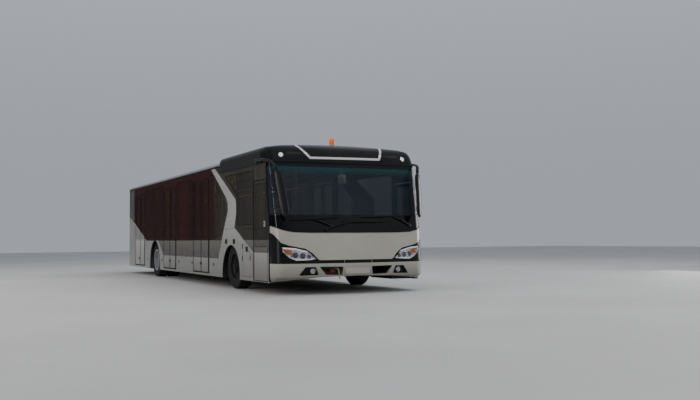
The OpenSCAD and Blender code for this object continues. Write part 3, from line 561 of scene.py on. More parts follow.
seal_rubber = plain("seal_rubber", (0.0025, 0.0025, 0.0027), 0.6, grain=180, Specular_IOR_Level=0.15)
tyre_rubber = plain("tyre_rubber", (0.008, 0.008, 0.0085), 0.85, grain=120, dust=0.05)
rim_steel = plain("rim_steel", (0.42, 0.43, 0.44), 0.38, 0.55, grain=90, spread=0.12, dust=0.35)
# Front rims painted near-black: painted shade of the dark wheel arch, not the steel's own colour
front_rim_shaded = plain("front_rim_shaded", (0.012, 0.012, 0.013), 0.6, 0.3, grain=90, dust=0.05)
bare_steel = plain("bare_steel", (0.5, 0.5, 0.5), 0.3, 0.9, grain=200, spread=0.1)
chrome = plain("chrome", (0.78, 0.79, 0.8), 0.07, 1.0, grain=30, depth=0.01, spread=0.03)


def lamp_reflector():
    """Bowl painted bright white, broken up by darker facet patches from a noise: painted reflections of chrome.
    """
    finish = Finish("lamp_silver", (0.9, 0.9, 0.9), 0.25)
    # Painted reflections: light and dark facet patches stand for what the chrome mirrors
    facets = finish.remap(finish.noise(42.0, 2.0, stretch=(1.0, 1.0, 1.6)), 0.42, 0.60)
    finish.feed(Base_Color=finish.mix(facets, (0.30, 0.31, 0.33), (0.95, 0.95, 0.95)))
    return finish.material


lamp_silver = lamp_reflector()
matt_black = plain("matt_black", (0.006, 0.006, 0.0065), 0.5, grain=400, depth=0.25, Specular_IOR_Level=0.25)
chassis_black = plain("chassis_black", (0.02, 0.021, 0.022), 0.6, 0.1, grain=50, depth=0.4, dust=0.5)
cast_engine = plain("cast_engine", (0.09, 0.095, 0.10), 0.6, 0.5, grain=140, depth=0.5, dust=0.2)
shackle_paint = plain("shackle_paint", (0.30, 0.22, 0.13), 0.5, grain=80, dust=0.1)
red_enamel = plain("red_enamel", (0.16, 0.016, 0.012), 0.45, grain=60, dust=0.2)
rail_paint = plain("rail_paint", (0.62, 0.43, 0.02), 0.3, grain=120, depth=0.05, spread=0.06)
dash_plastic = plain("dash_plastic", (0.022, 0.023, 0.025), 0.6, grain=500, depth=0.4)
white_plastic = plain("white_plastic", (0.55, 0.56, 0.55), 0.4, grain=120, spread=0.04)
plate_enamel = plain("plate_enamel", (0.36, 0.35, 0.32), 0.35, grain=80, spread=0.05)


print("materials so far", len(bpy.data.materials))


# %% [markdown]
# Two surfaces inside need a pattern of their own. The floor is a non-slip sheet with a raised grain, which
# small Voronoi cells give. The seats are woven, which two crossed sine waves give, one for the warp and one
# for the weft.

# %% Floor cover and seat cloth
def floor_cover():
    """Non-slip sheet: a raised grain of small cells, dark grey with paler flecks."""
    finish = Finish("floor_cover", (0.06, 0.062, 0.066), 0.75)
    cells = finish.node("ShaderNodeTexVoronoi", Vector=finish.place, Scale=120.0).outputs["Distance"]
    fleck = finish.remap(finish.noise(350.0, 2.0), 0.62, 0.7)
    finish.feed(Base_Color=finish.mix(fleck, (0.06, 0.062, 0.066), (0.2, 0.2, 0.2)))
    finish.bump(cells, 0.5, 0.001)
    return finish.material


def cloth(name, color, second):
    """Woven moquette: two crossed waves for warp and weft, and a fleck of the second colour."""
    finish = Finish(name, color, 0.9, Sheen_Weight=0.3)
    warp = finish.sum("SINE", finish.sum("MULTIPLY", finish.x, 2600.0))
    weft = finish.sum("SINE", finish.sum("MULTIPLY", finish.sum("ADD", finish.y, finish.z), 2600.0))
    fleck = finish.remap(finish.noise(55.0, 2.0), 0.56, 0.62)
    finish.feed(Base_Color=finish.mix(fleck, color, second))
    finish.bump(finish.sum("ADD", finish.sum("MULTIPLY", warp, weft), finish.noise(14.0, 3.0)), 0.5, 0.001)
    return finish.material


safety_floor = floor_cover()
driver_cloth = cloth("driver_cloth", (0.028, 0.03, 0.036), (0.06, 0.065, 0.08))
seat_cloth = cloth("seat_cloth", (0.035, 0.05, 0.13), (0.10, 0.13, 0.25))
print("floor cover and two cloths")


# %% [markdown]
# Glass is a dark tint that lets part of the light through, with a hard gloss on top. The windscreen is bluer.
# It has a green sun band along its top and a black ceramic border where it is glued in, painted here by place
# on the pane. Its tint is painted paler towards the bus's right side (-X): a painted reflection of the sky.

# %% Glass and lenses
def glass(name, tint, alpha, roughness=0.03):
    """Tinted pane: hard gloss, slightly wavy, with a faint uneven film of dirt."""
    finish = Finish(name, tint, roughness, Specular_IOR_Level=0.2, IOR=1.5)
    finish.shader.inputs["Alpha"].default_value = alpha
    finish.feed(Roughness=finish.remap(finish.noise(3.0, 5.0), 0.35, 0.75, roughness, roughness + 0.06))
    finish.bump(finish.noise(1.4, 1.0), 0.1, 0.02)
    return finish


def side_glass():
    finish = glass("side_glass", FILM, 0.8)
    finish.shader.inputs["Specular IOR Level"].default_value = 0.16
    finish.feed(Base_Color=film_color(finish))
    finish.feed(Alpha=finish.remap(finish.over(finish.y, CAB_END_Y, 0.5), 0, 1, 0.62, 0.82))
    return finish.material


def windscreen_glass():
    finish = glass("windscreen_glass", (0.012, 0.02, 0.028), 0.55)
    wave = finish.remap(finish.noise(3.5, 4.0), 0.3, 0.75, 0.0, 0.25)
    top = finish.remap(finish.z, 2.27, 2.42)
    # Painted reflection of the sky: the tint is paler towards -X, the bus's right side
    pale = finish.mix(finish.remap(finish.x, -1.2, 0.6), (0.026, 0.033, 0.042), (0.013, 0.021, 0.029))
    shade = finish.mix(top, pale, (0.008, 0.045, 0.05))
    base = finish.sum("SUBTRACT", 1.0, finish.over(finish.z, 1.50, 0.012))
    border = finish.sum("MAXIMUM", base, finish.over(finish.z, 2.432, 0.006))
    finish.feed(Base_Color=finish.mix(border, shade, (0.004, 0.004, 0.005)))
    dirt = finish.sum("MULTIPLY_ADD", top, 0.30, finish.sum("ADD", 0.44, wave))
    finish.feed(Alpha=finish.sum("MAXIMUM", border, dirt, clamp=True))
    return finish.material


def lens(name, color, alpha, glow=0.0, ribs=0.0):
    """Moulded lens, with fine vertical ribs if asked."""
    finish = Finish(name, color, 0.06, Coat_Weight=0.5)
    finish.shader.inputs["Alpha"].default_value = alpha
    finish.shader.inputs["Emission Color"].default_value = tuple(color) + (1,)
    finish.shader.inputs["Emission Strength"].default_value = glow
    height = finish.noise(60.0, 2.0)
    if ribs:
        height = finish.sum("SINE", finish.sum("MULTIPLY", finish.x, ribs))
    finish.bump(height, 0.15, 0.001)
    return finish.material


side_pane = side_glass()
windscreen_pane = windscreen_glass()
clear_lens = lens("clear_lens", (0.10, 0.105, 0.11), 0.08)
amber_lens = lens("amber_lens", (0.42, 0.090, 0.030), 0.85, 0.06, 900.0)
red_lens = lens("red_lens", (0.35, 0.008, 0.006), 0.95, 0.05, 900.0)
white_lens = lens("white_lens", (0.85, 0.86, 0.84), 1.0, 0.25)
mirror_glass = plain("mirror_glass", (0.5, 0.52, 0.55), 0.03, 1.0, grain=5, depth=0.0, spread=0.02)
print("materials", len(bpy.data.materials))

# %% [markdown]
# The front is the bus's hardest shape: it bows gently across, turns a tight corner at each side, and leans
# back above the mask. The CAD lofts it through five levels. Each level is a plan outline made of a wide bow,
# a corner arc and a straight side. Between two levels, points whose outward directions agree are joined by
# straight lines. The same rule is written here as a function of two numbers, so glass, seals and lamps can
# follow the skin exactly.

# %% The front's skin as a function
MASK_Z = 1.165
EAVE_Z = 2.52
POD_RISE = 0.395
# Each level: height, station of the centre, half width, bow radius, corner radius
LEVELS = np.array([[0.140, 0.190, 1.575, 6.0, 0.500], [0.330, 0.015, 1.597, 6.0, 0.290],
    [0.590, 0.0, 1.6, 6.0, 0.260], [MASK_Z, 0.060, 1.6, 6.0, 0.260], [EAVE_Z, 0.520, 1.6, 18.0, 0.110]])
FIRST_TURN = math.radians(13.5)
BOW_END = 0.6
STRAIGHT_STEP = 0.3


def outline(p, level):
    """Plan point at p. Up to BOW_END, p sweeps the outward direction over the bow, and from there to 1 over the
    corner. Past 1 the point runs straight back, STRAIGHT_STEP metres for each unit."""
    z, s0, w, bow, r = level
    past_bow = np.minimum((p - BOW_END) / (1 - BOW_END), 1.0)
    direction = np.where(p < BOW_END, FIRST_TURN * p / BOW_END,
        FIRST_TURN + (np.pi / 2 - FIRST_TURN) * past_bow)
    cx = w - r
    cs = s0 + bow - math.sqrt((bow - r) ** 2 - cx ** 2)
    on_bow = direction < math.asin(cx / (bow - r))
    x = np.where(on_bow, bow * np.sin(direction), cx + r * np.sin(direction))
    s = np.where(on_bow, s0 + bow - bow * np.cos(direction), cs - r * np.cos(direction))
    return np.stack([x, s + np.maximum(p - 1.0, 0.0) * STRAIGHT_STEP], axis=-1)


def skin(p, z, levels=LEVELS):
    """Point on the front: the outlines of the levels under and over z, mixed by height. Negative p is the bus's
    right side."""
    p, z = np.broadcast_arrays(np.asarray(p, float), np.asarray(z, float))
    k = np.clip(np.searchsorted(levels[:, 0], z, side="right") - 1, 0, len(levels) - 2)
    low, high = levels[k, 0], levels[k + 1, 0]
    t = np.clip((z - low) / (high - low), 0, 1)[..., None]
    plans = np.stack([outline(np.abs(p), level) for level in levels])
    rows = np.indices(p.shape)
    flat = plans[(k,) + tuple(rows)] * (1 - t) + plans[(k + 1,) + tuple(rows)] * t
    return np.stack([flat[..., 0] * np.where(p < 0, -1.0, 1.0), flat[..., 1] - HALF_L, z], axis=-1)


def outward(p, z, levels=LEVELS):
    """Unit normal: the cross product of the skin's two directions of travel, by small differences."""
    e = 1e-3
    across = skin(p + e, z, levels) - skin(p - e, z, levels)
    up = skin(p, z + e, levels) - skin(p, z - e, levels)
    return unit(np.cross(across, up))


def find_p(target, z, axis=0, levels=LEVELS):
    """p at which the skin has |x| = target (axis 0) or station = target (axis 1), by halving 40 times."""
    target, z = np.broadcast_arrays(np.asarray(target, float), np.asarray(z, float))
    low, high = np.zeros(z.shape), np.full(z.shape, 1.0 if axis == 0 else 3.0)
    for _ in range(40):
        middle = (low + high) / 2
        here = skin(middle, z, levels)
        value = here[..., 0] if axis == 0 else here[..., 1] + HALF_L
        low, high = np.where(value < target, middle, low), np.where(value < target, high, middle)
    return low


def on_front(x, z, lift=0.0, levels=LEVELS):
    """Points of the skin at given x and z, lifted along the outward normal, and the normals."""
    x, z = np.broadcast_arrays(np.asarray(x, float), np.asarray(z, float))
    p = find_p(np.abs(x), z, 0, levels) * np.where(x < 0, -1.0, 1.0)
    normal = outward(p, z, levels)
    return skin(p, z, levels) + lift * normal, normal


print("front at 1 m up, in the middle and past the corner", skin([0.0, 1.0], [1.0, 1.0]).round(3).tolist())


# %% [markdown]
# Glass and mask are stretches of that skin between two edge curves, from one side's seam to the other's. A
# grid is laid between the curves. Two offsets of it, joined round the rim, make a panel as thick as the real
# one.

# %% Panels cut from the skin
SEAM_LINE = np.array([[1.285, 0.500], [EAVE_Z, 0.665]])
MASK_TOP = np.array([[0, 1.165], [0.9, 1.168], [1.25, 1.18], [1.45, 1.225], [1.62, 1.305]])
MASK_LOW = np.array([[0, 0.645], [0.785, 0.645], [0.89, 0.77], [1.03, 0.86], [1.34, 0.925], [1.47, 0.97],
    [1.62, 1.19]])
START_Z = 1.2


def seam_station(z):
    """Where the front ends and the side begins, by height."""
    return np.interp(z, SEAM_LINE[:, 0], SEAM_LINE[:, 1])


def band_of_front(low, high, columns=81, rows=25, gap=0.0):
    """Grid between two curves z = low(|x|) and z = high(|x|), from seam to seam. Column j keeps its share of
    the way to the seam, and its heights are found by putting the curve's z back into the skin six times."""
    share = np.linspace(-1, 1, columns)
    share = np.sign(share) * (1 - (1 - np.abs(share)) ** 1.25)

    def heights(curve):
        z = np.full(columns, START_Z)
        for _ in range(6):
            p = share * find_p(seam_station(z) - gap, z, 1)
            z = curve(np.abs(skin(p, z)[..., 0]))
        return z
    foot, top = heights(low), heights(high)
    z = foot[None] + (top - foot)[None] * np.linspace(0, 1, rows)[:, None]
    p = share[None] * find_p(seam_station(z) - gap, z, 1)
    return p, z


def wall_between(p, z, inner, outer, levels=LEVELS):
    """Closed shell between two offsets of a skin patch: an outer grid, an inner one, and the rim that joins
    them."""
    normal = outward(p, z, levels)
    out, back = skin(p, z, levels) + outer * normal, skin(p, z, levels) + inner * normal
    shape = Shape()
    rows, columns = p.shape
    shape.grid(out)
    shape.add(back, grid_faces(rows, columns, False, False)[:, ::-1])
    i = np.arange(rows * columns).reshape(rows, columns)
    rim = np.concatenate([i[0, :-1], i[:-1, -1], i[-1, :0:-1], i[:0:-1, 0]])
    n = rows * columns
    shape.faces += np.stack([rim, rim + n, np.roll(rim, -1) + n, np.roll(rim, -1)], axis=1).tolist()
    return shape


print("seam at 1 m and 2 m up, as stations", seam_station(np.array([1.0, 2.0])).round(3).tolist())

# %% [markdown]
# The windscreen is one big pane, glued in from corner to corner. Its surface is the front's skin between the
# mask's top edge and the visor. It gets a real thickness, so its edge catches the light.

# %% Windscreen
def mask_top(x):
    return np.interp(x, MASK_TOP[:, 0], MASK_TOP[:, 1])


def glass_foot(x):
    return mask_top(x) + 0.002


def glass_top(x):
    return np.full(x.shape, EAVE_Z - 0.001)


PANE_THICK = 0.008
p, z = band_of_front(glass_foot, glass_top, columns=97, rows=33, gap=0.003)
pane = wall_between(p, z, -PANE_THICK, 0.0)
windscreen = pane.piece("windscreen_pane", windscreen_pane, slot="windscreen_glass")
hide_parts("windscreen")
print("windscreen", [round(float(v), 3) for v in windscreen.dimensions])

# %% [markdown]
# Below it sits the cream mask, whose lower edge climbs outwards like a wide V. Its skin is the same function
# between its own two curves, with a soft roll along the upper edge.

# %% Mask
def mask_low(x):
    return np.interp(x, MASK_LOW[:, 0], MASK_LOW[:, 1])


def mask_foot(x):
    return mask_low(x) + 0.001


def mask_head(x):
    """Just under the glass, and never less than 10 mm over the lower edge."""
    return np.maximum(mask_top(x) - 0.002, mask_low(x) + 0.01)


MASK_THICK, ROLL_DEPTH, ROLL_HEIGHT = 0.03, 0.011, 0.060
p, z = band_of_front(mask_foot, mask_head, columns=141, rows=45, gap=0.002)
from_top = mask_top(np.abs(skin(p, z)[..., :1])) - z[..., None]
roll = -ROLL_DEPTH * np.clip(1 - from_top / ROLL_HEIGHT, 0, 1) ** 2
mask = wall_between(p, z, -MASK_THICK, roll).piece("mask_skin", cream_paint, slot="mask_paint")
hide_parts("front_mask")
print("mask", [round(float(v), 3) for v in mask.dimensions])

# %% [markdown]
# The black visor over the glass is lofted through levels of its own, each one as wide as the cab roof is at
# that height. Between levels the points are joined by straight lines, as on the front, and the levels crowd
# together towards a rounded top. A flat plate closes it above.

# %% Visor
# Each level: height over the eaves, station of the centre, corner radius
VISOR = np.array([[0, 0.520, 0.110], [0.120, 0.560, 0.140], [0.200, 0.600, 0.160], [0.260, 0.640, 0.170],
    [0.300, 0.680, 0.160], [0.335, 0.735, 0.130], [0.362, 0.800, 0.110], [0.390, 0.900, 0.080]])
VISOR_S = 1.0
CROWN_R = 16.0
POD_R = 0.130


def roof_width(z):
    """Half width of the cab roof at a height over the eaves. Near the top it is the crown's arc,
    sqrt(R^2 - (R - depth)^2). Below, it is the shoulder's arc round its centre, and then the full width."""
    depth = POD_RISE - np.minimum(z, POD_RISE)
    cx = HALF_W - POD_R
    centre = CROWN_R - math.sqrt((CROWN_R - POD_R) ** 2 - cx ** 2)
    joint = CROWN_R - CROWN_R * math.sqrt(1 - (cx / (CROWN_R - POD_R)) ** 2)
    crown = np.sqrt(np.maximum(CROWN_R ** 2 - (CROWN_R - depth) ** 2, 0))
    shoulder = cx + np.sqrt(np.maximum(POD_R ** 2 - np.maximum(centre - depth, 0) ** 2, 0))
    return np.where(depth < joint, crown, shoulder)


def visor_levels():
    return np.array([[EAVE_Z + z, s0, float(roof_width(z)), 18.0, r] for z, s0, r in VISOR])


def visor_skin(p, z):
    """The visor's outline at p, cut off where it meets the cab roof."""
    point = skin(p, z, visor_levels())
    point[..., 1] = np.minimum(point[..., 1], VISOR_S - HALF_L)
    return point


def make_visor(columns=121):
    """The lofted face, the plate that closes it above, and a narrow one under it."""
    share = np.linspace(-1, 1, columns)
    rise = np.concatenate([np.linspace(0.0005, 0.300, 14), np.linspace(0.31, 0.390, 11)])
    z = (EAVE_Z + rise)[:, None] + 0 * share
    body = visor_skin(share * find_p(VISOR_S, z, 1, visor_levels()), z)
    shape = Shape().grid(body)
    back = np.full(columns, VISOR_S - HALF_L)
    top, bottom = body[-1], body[0]
    middle = np.stack([top[:, 0], back, top[:, 2] + 0.0040], axis=-1)
    shape.grid(np.stack([top, top * 0.5 + middle * 0.5, middle]))
    under = np.stack([bottom[:, 0] * 0.98, back, bottom[:, 2]], axis=-1)
    return shape.grid(np.stack([under, bottom]))


visor = make_visor().piece("visor_skin", black_gloss, slot="black_gloss")
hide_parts("visor")
print("visor", [round(float(v), 3) for v in visor.dimensions])


# %% [markdown]
# A pale stripe runs across the visor like the rim of a shallow dish: level in the middle, and up at both ends
# to the roof's edge. It is a narrow strip laid on the visor's skin.

# %% Stripe, sensor and marker lamps on the visor
STRIPE = [[-0.955, 2.868], [-0.735, 2.612], [0.772, 2.628], [0.895, 2.880]]


def on_visor(points, lift):
    """Points of a line laid on the visor's skin, and the normals there."""
    points = dense(points, 0.01)
    return on_front(points[:, 0], points[:, 1], lift, visor_levels())


path, normal = on_visor(STRIPE, 0.001)
stripe = bead(Shape(), path, normal, 0.046, 0.004)
stripe.piece("visor_stripe", white_plastic, slot="mask_paint")


def dome_profile(radius, rise, foot, n=8, tip=0.0003):
    """Quarter of an ellipse as a profile, from rim to middle: (radius cos a + tip, foot + rise sin a)."""
    a = np.linspace(0, np.pi / 2, n)
    return np.stack([radius * np.cos(a) + tip, foot + rise * np.sin(a)], axis=1)


def marker_lamp(shape_ring, shape_lens, side):
    """Chrome ring and domed lens, both turned round the lamp's axis, which points forward."""
    centre, normal = on_front(side * 1.325, EAVE_Z + 0.135, 0.0, visor_levels())
    axis = unit(np.array([side * 0.25, -1.0, 0.25]))
    ring = [[0.046, -0.03], [0.050, -0.02], [0.051, 0.010], [0.048, 0.016], [0.043, 0.014], [0.041, 0.0]]
    shape_ring.grid(turned(ring, centre, axis, 40), wrap_rows=True, wrap_columns=True)
    dome = np.concatenate([[[0.041, -0.03]], dome_profile(0.041, 0.018, 0.003, 9, 0.0002)])
    shape_lens.grid(turned(dome, centre, axis, 40), wrap_columns=True, caps=True)


rings, lenses = Shape(), Shape()
for side in (-1, 1):
    marker_lamp(rings, lenses, side)
rings.piece("marker_rings", chrome, slot="lamp_glass")
marker_piece = lenses.piece("marker_lenses", white_lens, slot="lamp_glass")
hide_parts("marker_lamps")
dot = Shape()
centre, normal = on_front(0.02, 2.70, 0.0, visor_levels())
dot.grid(turned([[0.028, -0.01], [0.028, 0.004], [0.022, 0.010], [0.010, 0.012]], centre, normal, 24),
    wrap_columns=True, caps=True)
dot.piece("visor_sensor", matt_black, slot="matt_black")
print("stripe, two marker lamps and a sensor")


# %% [markdown]
# Black seals frame the glass: one under the visor, one along the mask, and one down each corner where the
# front meets the side. Each is a bead on the skin, lifted by a millimetre so that it shows.

# %% Seals of the front
SEAL_LIFT = 0.001


def seal_on_skin(shape, p, z, width, height):
    """Bead along the points (p, z) of the skin."""
    normal = outward(p, z)
    return bead(shape, skin(p, z) + SEAL_LIFT * normal, normal, width, height)


seals = Shape()
z = np.full(81, EAVE_Z - 0.008)
seal_on_skin(seals, np.linspace(-1, 1, len(z)) * find_p(seam_station(z), z, 1), z, 0.022, 0.006)
x = np.linspace(-1.59, 1.59, 161)
path, normal = on_front(x, mask_top(np.abs(x)), SEAL_LIFT)
bead(seals, path, normal, 0.014, 0.005)
z = np.linspace(0.26, 2.50, 60)
for side in (1, -1):
    seal_on_skin(seals, side * find_p(seam_station(z), z, 1), z, 0.020, 0.005)
seals.piece("front_seals", seal_rubber, slot="matt_black")
print("front seals with", len(seals.faces), "faces")

# %% [markdown]
# A headlamp is a clear lens over a deep chrome bowl. The lens follows the skin inside the lamp's outline.
# Behind it are the bowl, two round projectors, a smaller round beam, an amber corner, a white light bar under
# the upper edge and a row of small lamps along the lower one. The outline is a closed curve. Each inner ring
# is the outline drawn in towards the lamp's middle, which gives both the lens and the bowl from one function.

# %% Headlamps
# Outlines as x and height on the front
LAMP = np.array([[1.470, 0.900], [1.220, 0.878], [0.990, 0.820], [0.820, 0.660], [1.000, 0.640],
    [1.200, 0.632], [1.340, 0.690], [1.455, 0.800]])
AMBER = np.array([[1.450, 0.866], [1.296, 0.838], [1.262, 0.778], [1.330, 0.752], [1.408, 0.778]])
LIGHT_BAR = [[1.440, 0.880], [1.215, 0.861], [1.000, 0.806]]
# Each round lamp: x, height, radius
ROUND_LAMPS = [(1.225, 0.745, 0.050), (1.085, 0.728, 0.050), (0.965, 0.712, 0.034)]
# The row of small lamps: the first one's place, the way to the next, and the outline of each
SMALL_START, SMALL_STEP, SMALL_COUNT = np.array([0.912, 0.668]), np.array([0.058, -0.0015]), 7
SMALL_LAMP = np.array([[0.020, 0.012], [-0.020, 0.012], [-0.020, -0.010], [0.020, -0.010]])
LAMP_BACK = 0.042
ROUND_DEPTH = 0.036


def ring_points(outline_xz, n=14):
    """The outline with n points on each side."""
    closed = np.concatenate([outline_xz, outline_xz[:1]])
    t = (np.arange(n) / n)[None, :, None]
    return (closed[:-1, None] * (1 - t) + closed[1:, None] * t).reshape(-1, 2)


def lamp_patch(outline_xz, side, depths, shares):
    """Rings between the outline and its middle: share 1 is the outline and 0 the middle. Each ring is sunk by
    its depth along the skin's normal."""
    ring = ring_points(outline_xz)
    middle = outline_xz.mean(axis=0)
    rows = []
    for depth, share in zip(depths, shares):
        xz = middle + (ring - middle) * share
        point, _ = on_front(side * xz[:, 0], xz[:, 1], -depth)
        rows.append(point)
    return np.stack(rows)


def inside_lamp(x, z, side, depth):
    """A point behind the lens: the skin's point pushed back along the skin's normal."""
    point, normal = on_front(side * x, z, 0.0)
    return point - depth * normal


def round_lamp(rim, dome, centre, forward, radius):
    """Chrome rim and glass dome of one round lamp, turned round the way it looks."""
    section = [[radius, 0.0], [radius + 0.010, 0.004], [radius + 0.012, 0.020], [radius + 0.004, 0.030],
        [radius - 0.003, 0.022], [radius - 0.014, 0.002]]
    rim.grid(turned(section, centre, forward, 32), wrap_rows=True, wrap_columns=True)
    profile = dome_profile(radius - 0.004, 0.022, 0.006)
    dome.grid(turned(profile, centre, forward, 32), wrap_columns=True, caps=True)


print("outline of a lamp", len(ring_points(LAMP)), "points")


# %% [markdown]
# With those helpers a lamp is a short table of patches: which piece it belongs to, its outline, how deep each
# ring is sunk and how far in it lies. The pieces are kept apart by their finish, because glass, chrome and
# rubber can't share one.

# %% Pieces of the headlamps
lens_shape, bowl, chrome_bits, projector, amber_bits, light_bar, frame_black = (Shape() for _ in range(7))
for side in (-1, 1):
    # Each patch: shape, outline, depths, shares
    patches = [
        (lens_shape, LAMP, [0.012, 0.0, -0.002] + [-0.003] * 5, [1.0, 0.985, 0.9, 0.7, 0.5, 0.3, 0.1, 0.01]),
        (lens_shape, LAMP, [0.012, 0.004, 0.002, 0.002], [1.0, 0.98, 0.5, 0.01]),
        (bowl, LAMP, [0.004, 0.012, 0.026, 0.032, LAMP_BACK, LAMP_BACK], [1.0, 0.97, 0.90, 0.86, 0.70, 0.01]),
        (amber_bits, AMBER, [0.030, 0.018, 0.014, 0.014], [1.0, 0.98, 0.8, 0.01])]
    patches += [(light_bar, SMALL_START + i * SMALL_STEP + SMALL_LAMP, [0.030, 0.016, 0.012, 0.012],
        [1.0, 0.95, 0.7, 0.01]) for i in range(SMALL_COUNT)]
    for shape, patch_outline, depths, shares in patches:
        shape.grid(lamp_patch(patch_outline, side, depths, shares), wrap_columns=True)
    forward = unit(np.array([side * 0.12, -1.0, 0.0]))
    for x, z, radius in ROUND_LAMPS:
        round_lamp(chrome_bits, projector, inside_lamp(x, z, side, ROUND_DEPTH), forward, radius)
    bar = dense(LIGHT_BAR, 0.02)
    path, normal = on_front(side * bar[:, 0], bar[:, 1], -0.016)
    light_bar.grid(along(path, normal, strip_profile(0.034, 0.010)), wrap_columns=True, caps=True)
    edge = ring_points(LAMP, 10)
    path, normal = on_front(side * edge[:, 0], edge[:, 1], 0.0)
    bead(frame_black, path, normal, 0.012, 0.004, closed=True)
lens_piece = lens_shape.piece("headlamp_lenses", clear_lens, slot="lamp_glass")
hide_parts("headlamps")
bowl.piece("headlamp_bowls", lamp_silver, slot="lamp_glass")
chrome_bits.piece("headlamp_rims", chrome, slot="lamp_glass")
projector_glass = lens("projector_glass", (0.05, 0.055, 0.065), 0.95)
projector.piece("headlamp_projectors", projector_glass, slot="lamp_glass")
amber_bits.piece("headlamp_indicators", amber_lens, slot="amber_lens")
light_bar.piece("headlamp_light_bars", white_lens, slot="lamp_glass")
frame_black.piece("headlamp_seals", seal_rubber, slot="matt_black")
smooth_copy("front_cheeks", black_gloss)
print("headlamps with", len(projector.faces), "projector faces")


# %% [markdown]
# The bumper is the CAD panel, smoothed. Its openings get what is seen through them: a fog lamp with a chrome
# ring, and a thin dark edge round each hole.

# %% Bumper and fog lamps
smooth_copy("front_bumper", cream_bumper)
smooth_copy("fog_lamps", matt_black)
# A fog lamp's x, station and height, and the outlines of the holes as x and height
FOG = (0.905, 0.080, 0.446)
INNER_HOLE = np.array([[0.330, 0.372], [0.640, 0.378], [0.760, 0.517], [0.310, 0.512]])
FOG_HOLE = np.array([[0.800, 0.378], [1.150, 0.370], [1.040, 0.512], [0.850, 0.512]])
FOG_RIM = [[0.040, -0.02], [0.050, -0.02], [0.052, 0.010], [0.047, 0.018], [0.041, 0.012]]

fog_ring, fog_lens, edges = (Shape() for _ in range(3))
for side in (-1, 1):
    front = np.array([side * FOG[0], FOG[1] - HALF_L, FOG[2]])
    fog_ring.grid(turned(FOG_RIM, front, [0, -1, 0], 36), wrap_rows=True, wrap_columns=True)
    dome = turned(dome_profile(0.041, 0.012, 0.002), front, [0, -1, 0], 36)
    fog_lens.grid(dome, wrap_columns=True, caps=True)
    for hole in (INNER_HOLE, FOG_HOLE):
        ring = ring_points(hole, 12)
        path, normal = on_front(side * ring[:, 0], ring[:, 1], 0.0)
        bead(edges, path, normal, 0.012, 0.003, closed=True)
fog_ring.piece("fog_rings", chrome, slot="lamp_glass")
fog_lens.piece("fog_lenses", lens("fog_glass", (0.30, 0.31, 0.33), 0.85), slot="lamp_glass")
edges.piece("bumper_hole_edges", seal_rubber, slot="matt_black")
print("fog lamps and", len(edges.faces), "faces round the holes")

# %% [markdown]
# A blank plate sits in the middle of the bumper, in a frame of the bumper's colour, held by two screws. Two
# pale clips mark the grille's upper edge. A shackle hangs in the towing opening: a rod along a smooth curve,
# with an eye at its root.

# %% Blank plate, clips and shackle
# The blank plate: half width, foot and top, and how far its frame reaches past it
PLATE_W, PLATE_FOOT, PLATE_TOP, PLATE_FRAME = 0.255, 0.385, 0.500, 0.007
xs, zs = np.meshgrid(np.linspace(-PLATE_W, PLATE_W, 21), np.linspace(PLATE_FOOT, PLATE_TOP, 7))
p = find_p(np.abs(xs), zs) * np.where(xs < 0, -1, 1)
wall_between(p, zs, -0.001, 0.004).piece("blank_plate", plate_enamel, slot="mask_paint")
across, foot, top = PLATE_W + PLATE_FRAME, PLATE_FOOT - PLATE_FRAME, PLATE_TOP + PLATE_FRAME
ring = ring_points(np.array([[-across, foot], [across, foot], [across, top], [-across, top]]), 12)
path, normal = on_front(ring[:, 0], ring[:, 1], 0.0)
plate_frame = bead(Shape(), path, normal, 0.010, 0.0028, closed=True)
plate_frame.piece("plate_frame", cream_bumper, slot="mask_paint")
screws = Shape()
for x in (-0.17, 0.17):
    centre, normal = on_front(x, 0.443, 0.004)
    screws.grid(turned([[0.008, -0.002], [0.008, 0.001], [0.005, 0.003], [0.001, 0.0035]], centre, normal, 12),
        wrap_columns=True, caps=True)
screws.piece("plate_screws", bare_steel, slot="rim_steel")
clips = Shape()
for x in (-0.28, 0.30):
    path, normal = on_front(np.full(5, x), np.linspace(0.594, 0.640, 5), 0.0)
    bead(clips, path, normal, 0.007, 0.004)
clips.piece("grille_clips", cream_paint, slot="mask_paint")
smooth_copy("tow_eyes", red_enamel, bevel=0.004)
# The tow shackle hangs in the opening: points as x, station and height
HOOK = [[-0.470, 0.170, 0.470], [-0.440, 0.080, 0.492], [-0.405, 0.030, 0.470], [-0.395, 0.0125, 0.400],
    [-0.385, 0.0125, 0.340], [-0.370, 0.030, 0.305], [-0.345, 0.070, 0.300], [-0.335, 0.110, 0.330]]
hook = smooth(HOOK, 8) - [0, HALF_L, 0]
shackle = tube(Shape(), hook, 0.011, 14)
shackle.grid(turned([[0.020, -0.018], [0.022, -0.014], [0.022, 0.014], [0.020, 0.018]], hook[0], [0, 0, 1], 20),
    wrap_columns=True, caps=True)
shackle.piece("tow_shackle", shackle_paint, slot="red_enamel")
print("bumper dressed")


# %% [markdown]
# Each wiper has a cap over its spindle, a tapering arm, and a blade held by small bridges, with a thin rubber
# edge on the glass. All three are parked low, nearly level. Their points are given by x and height and lie on
# the glass.

# %% Wipers
# Each wiper: pivot, elbow, and the two ends of its blade
WIPERS = [
    [[-0.50, 1.275], [-0.90, 1.420], [-1.30, 1.390], [-0.35, 1.440]],
    [[1.25, 1.300], [0.85, 1.475], [0.15, 1.445], [1.10, 1.490]],
    [[-0.62, 1.215], [-0.08, 1.362], [-0.283, 1.358], [0.621, 1.355]],
]
# Each bridge: where it starts and ends along the blade, and its height
BRIDGES = [(0.12, 0.42, 0.026), (0.58, 0.88, 0.026), (0.27, 0.73, 0.036)]
CAP = [[0.036, -0.004], [0.037, 0.014], [0.030, 0.028], [0.014, 0.036], [0.0008, 0.038]]

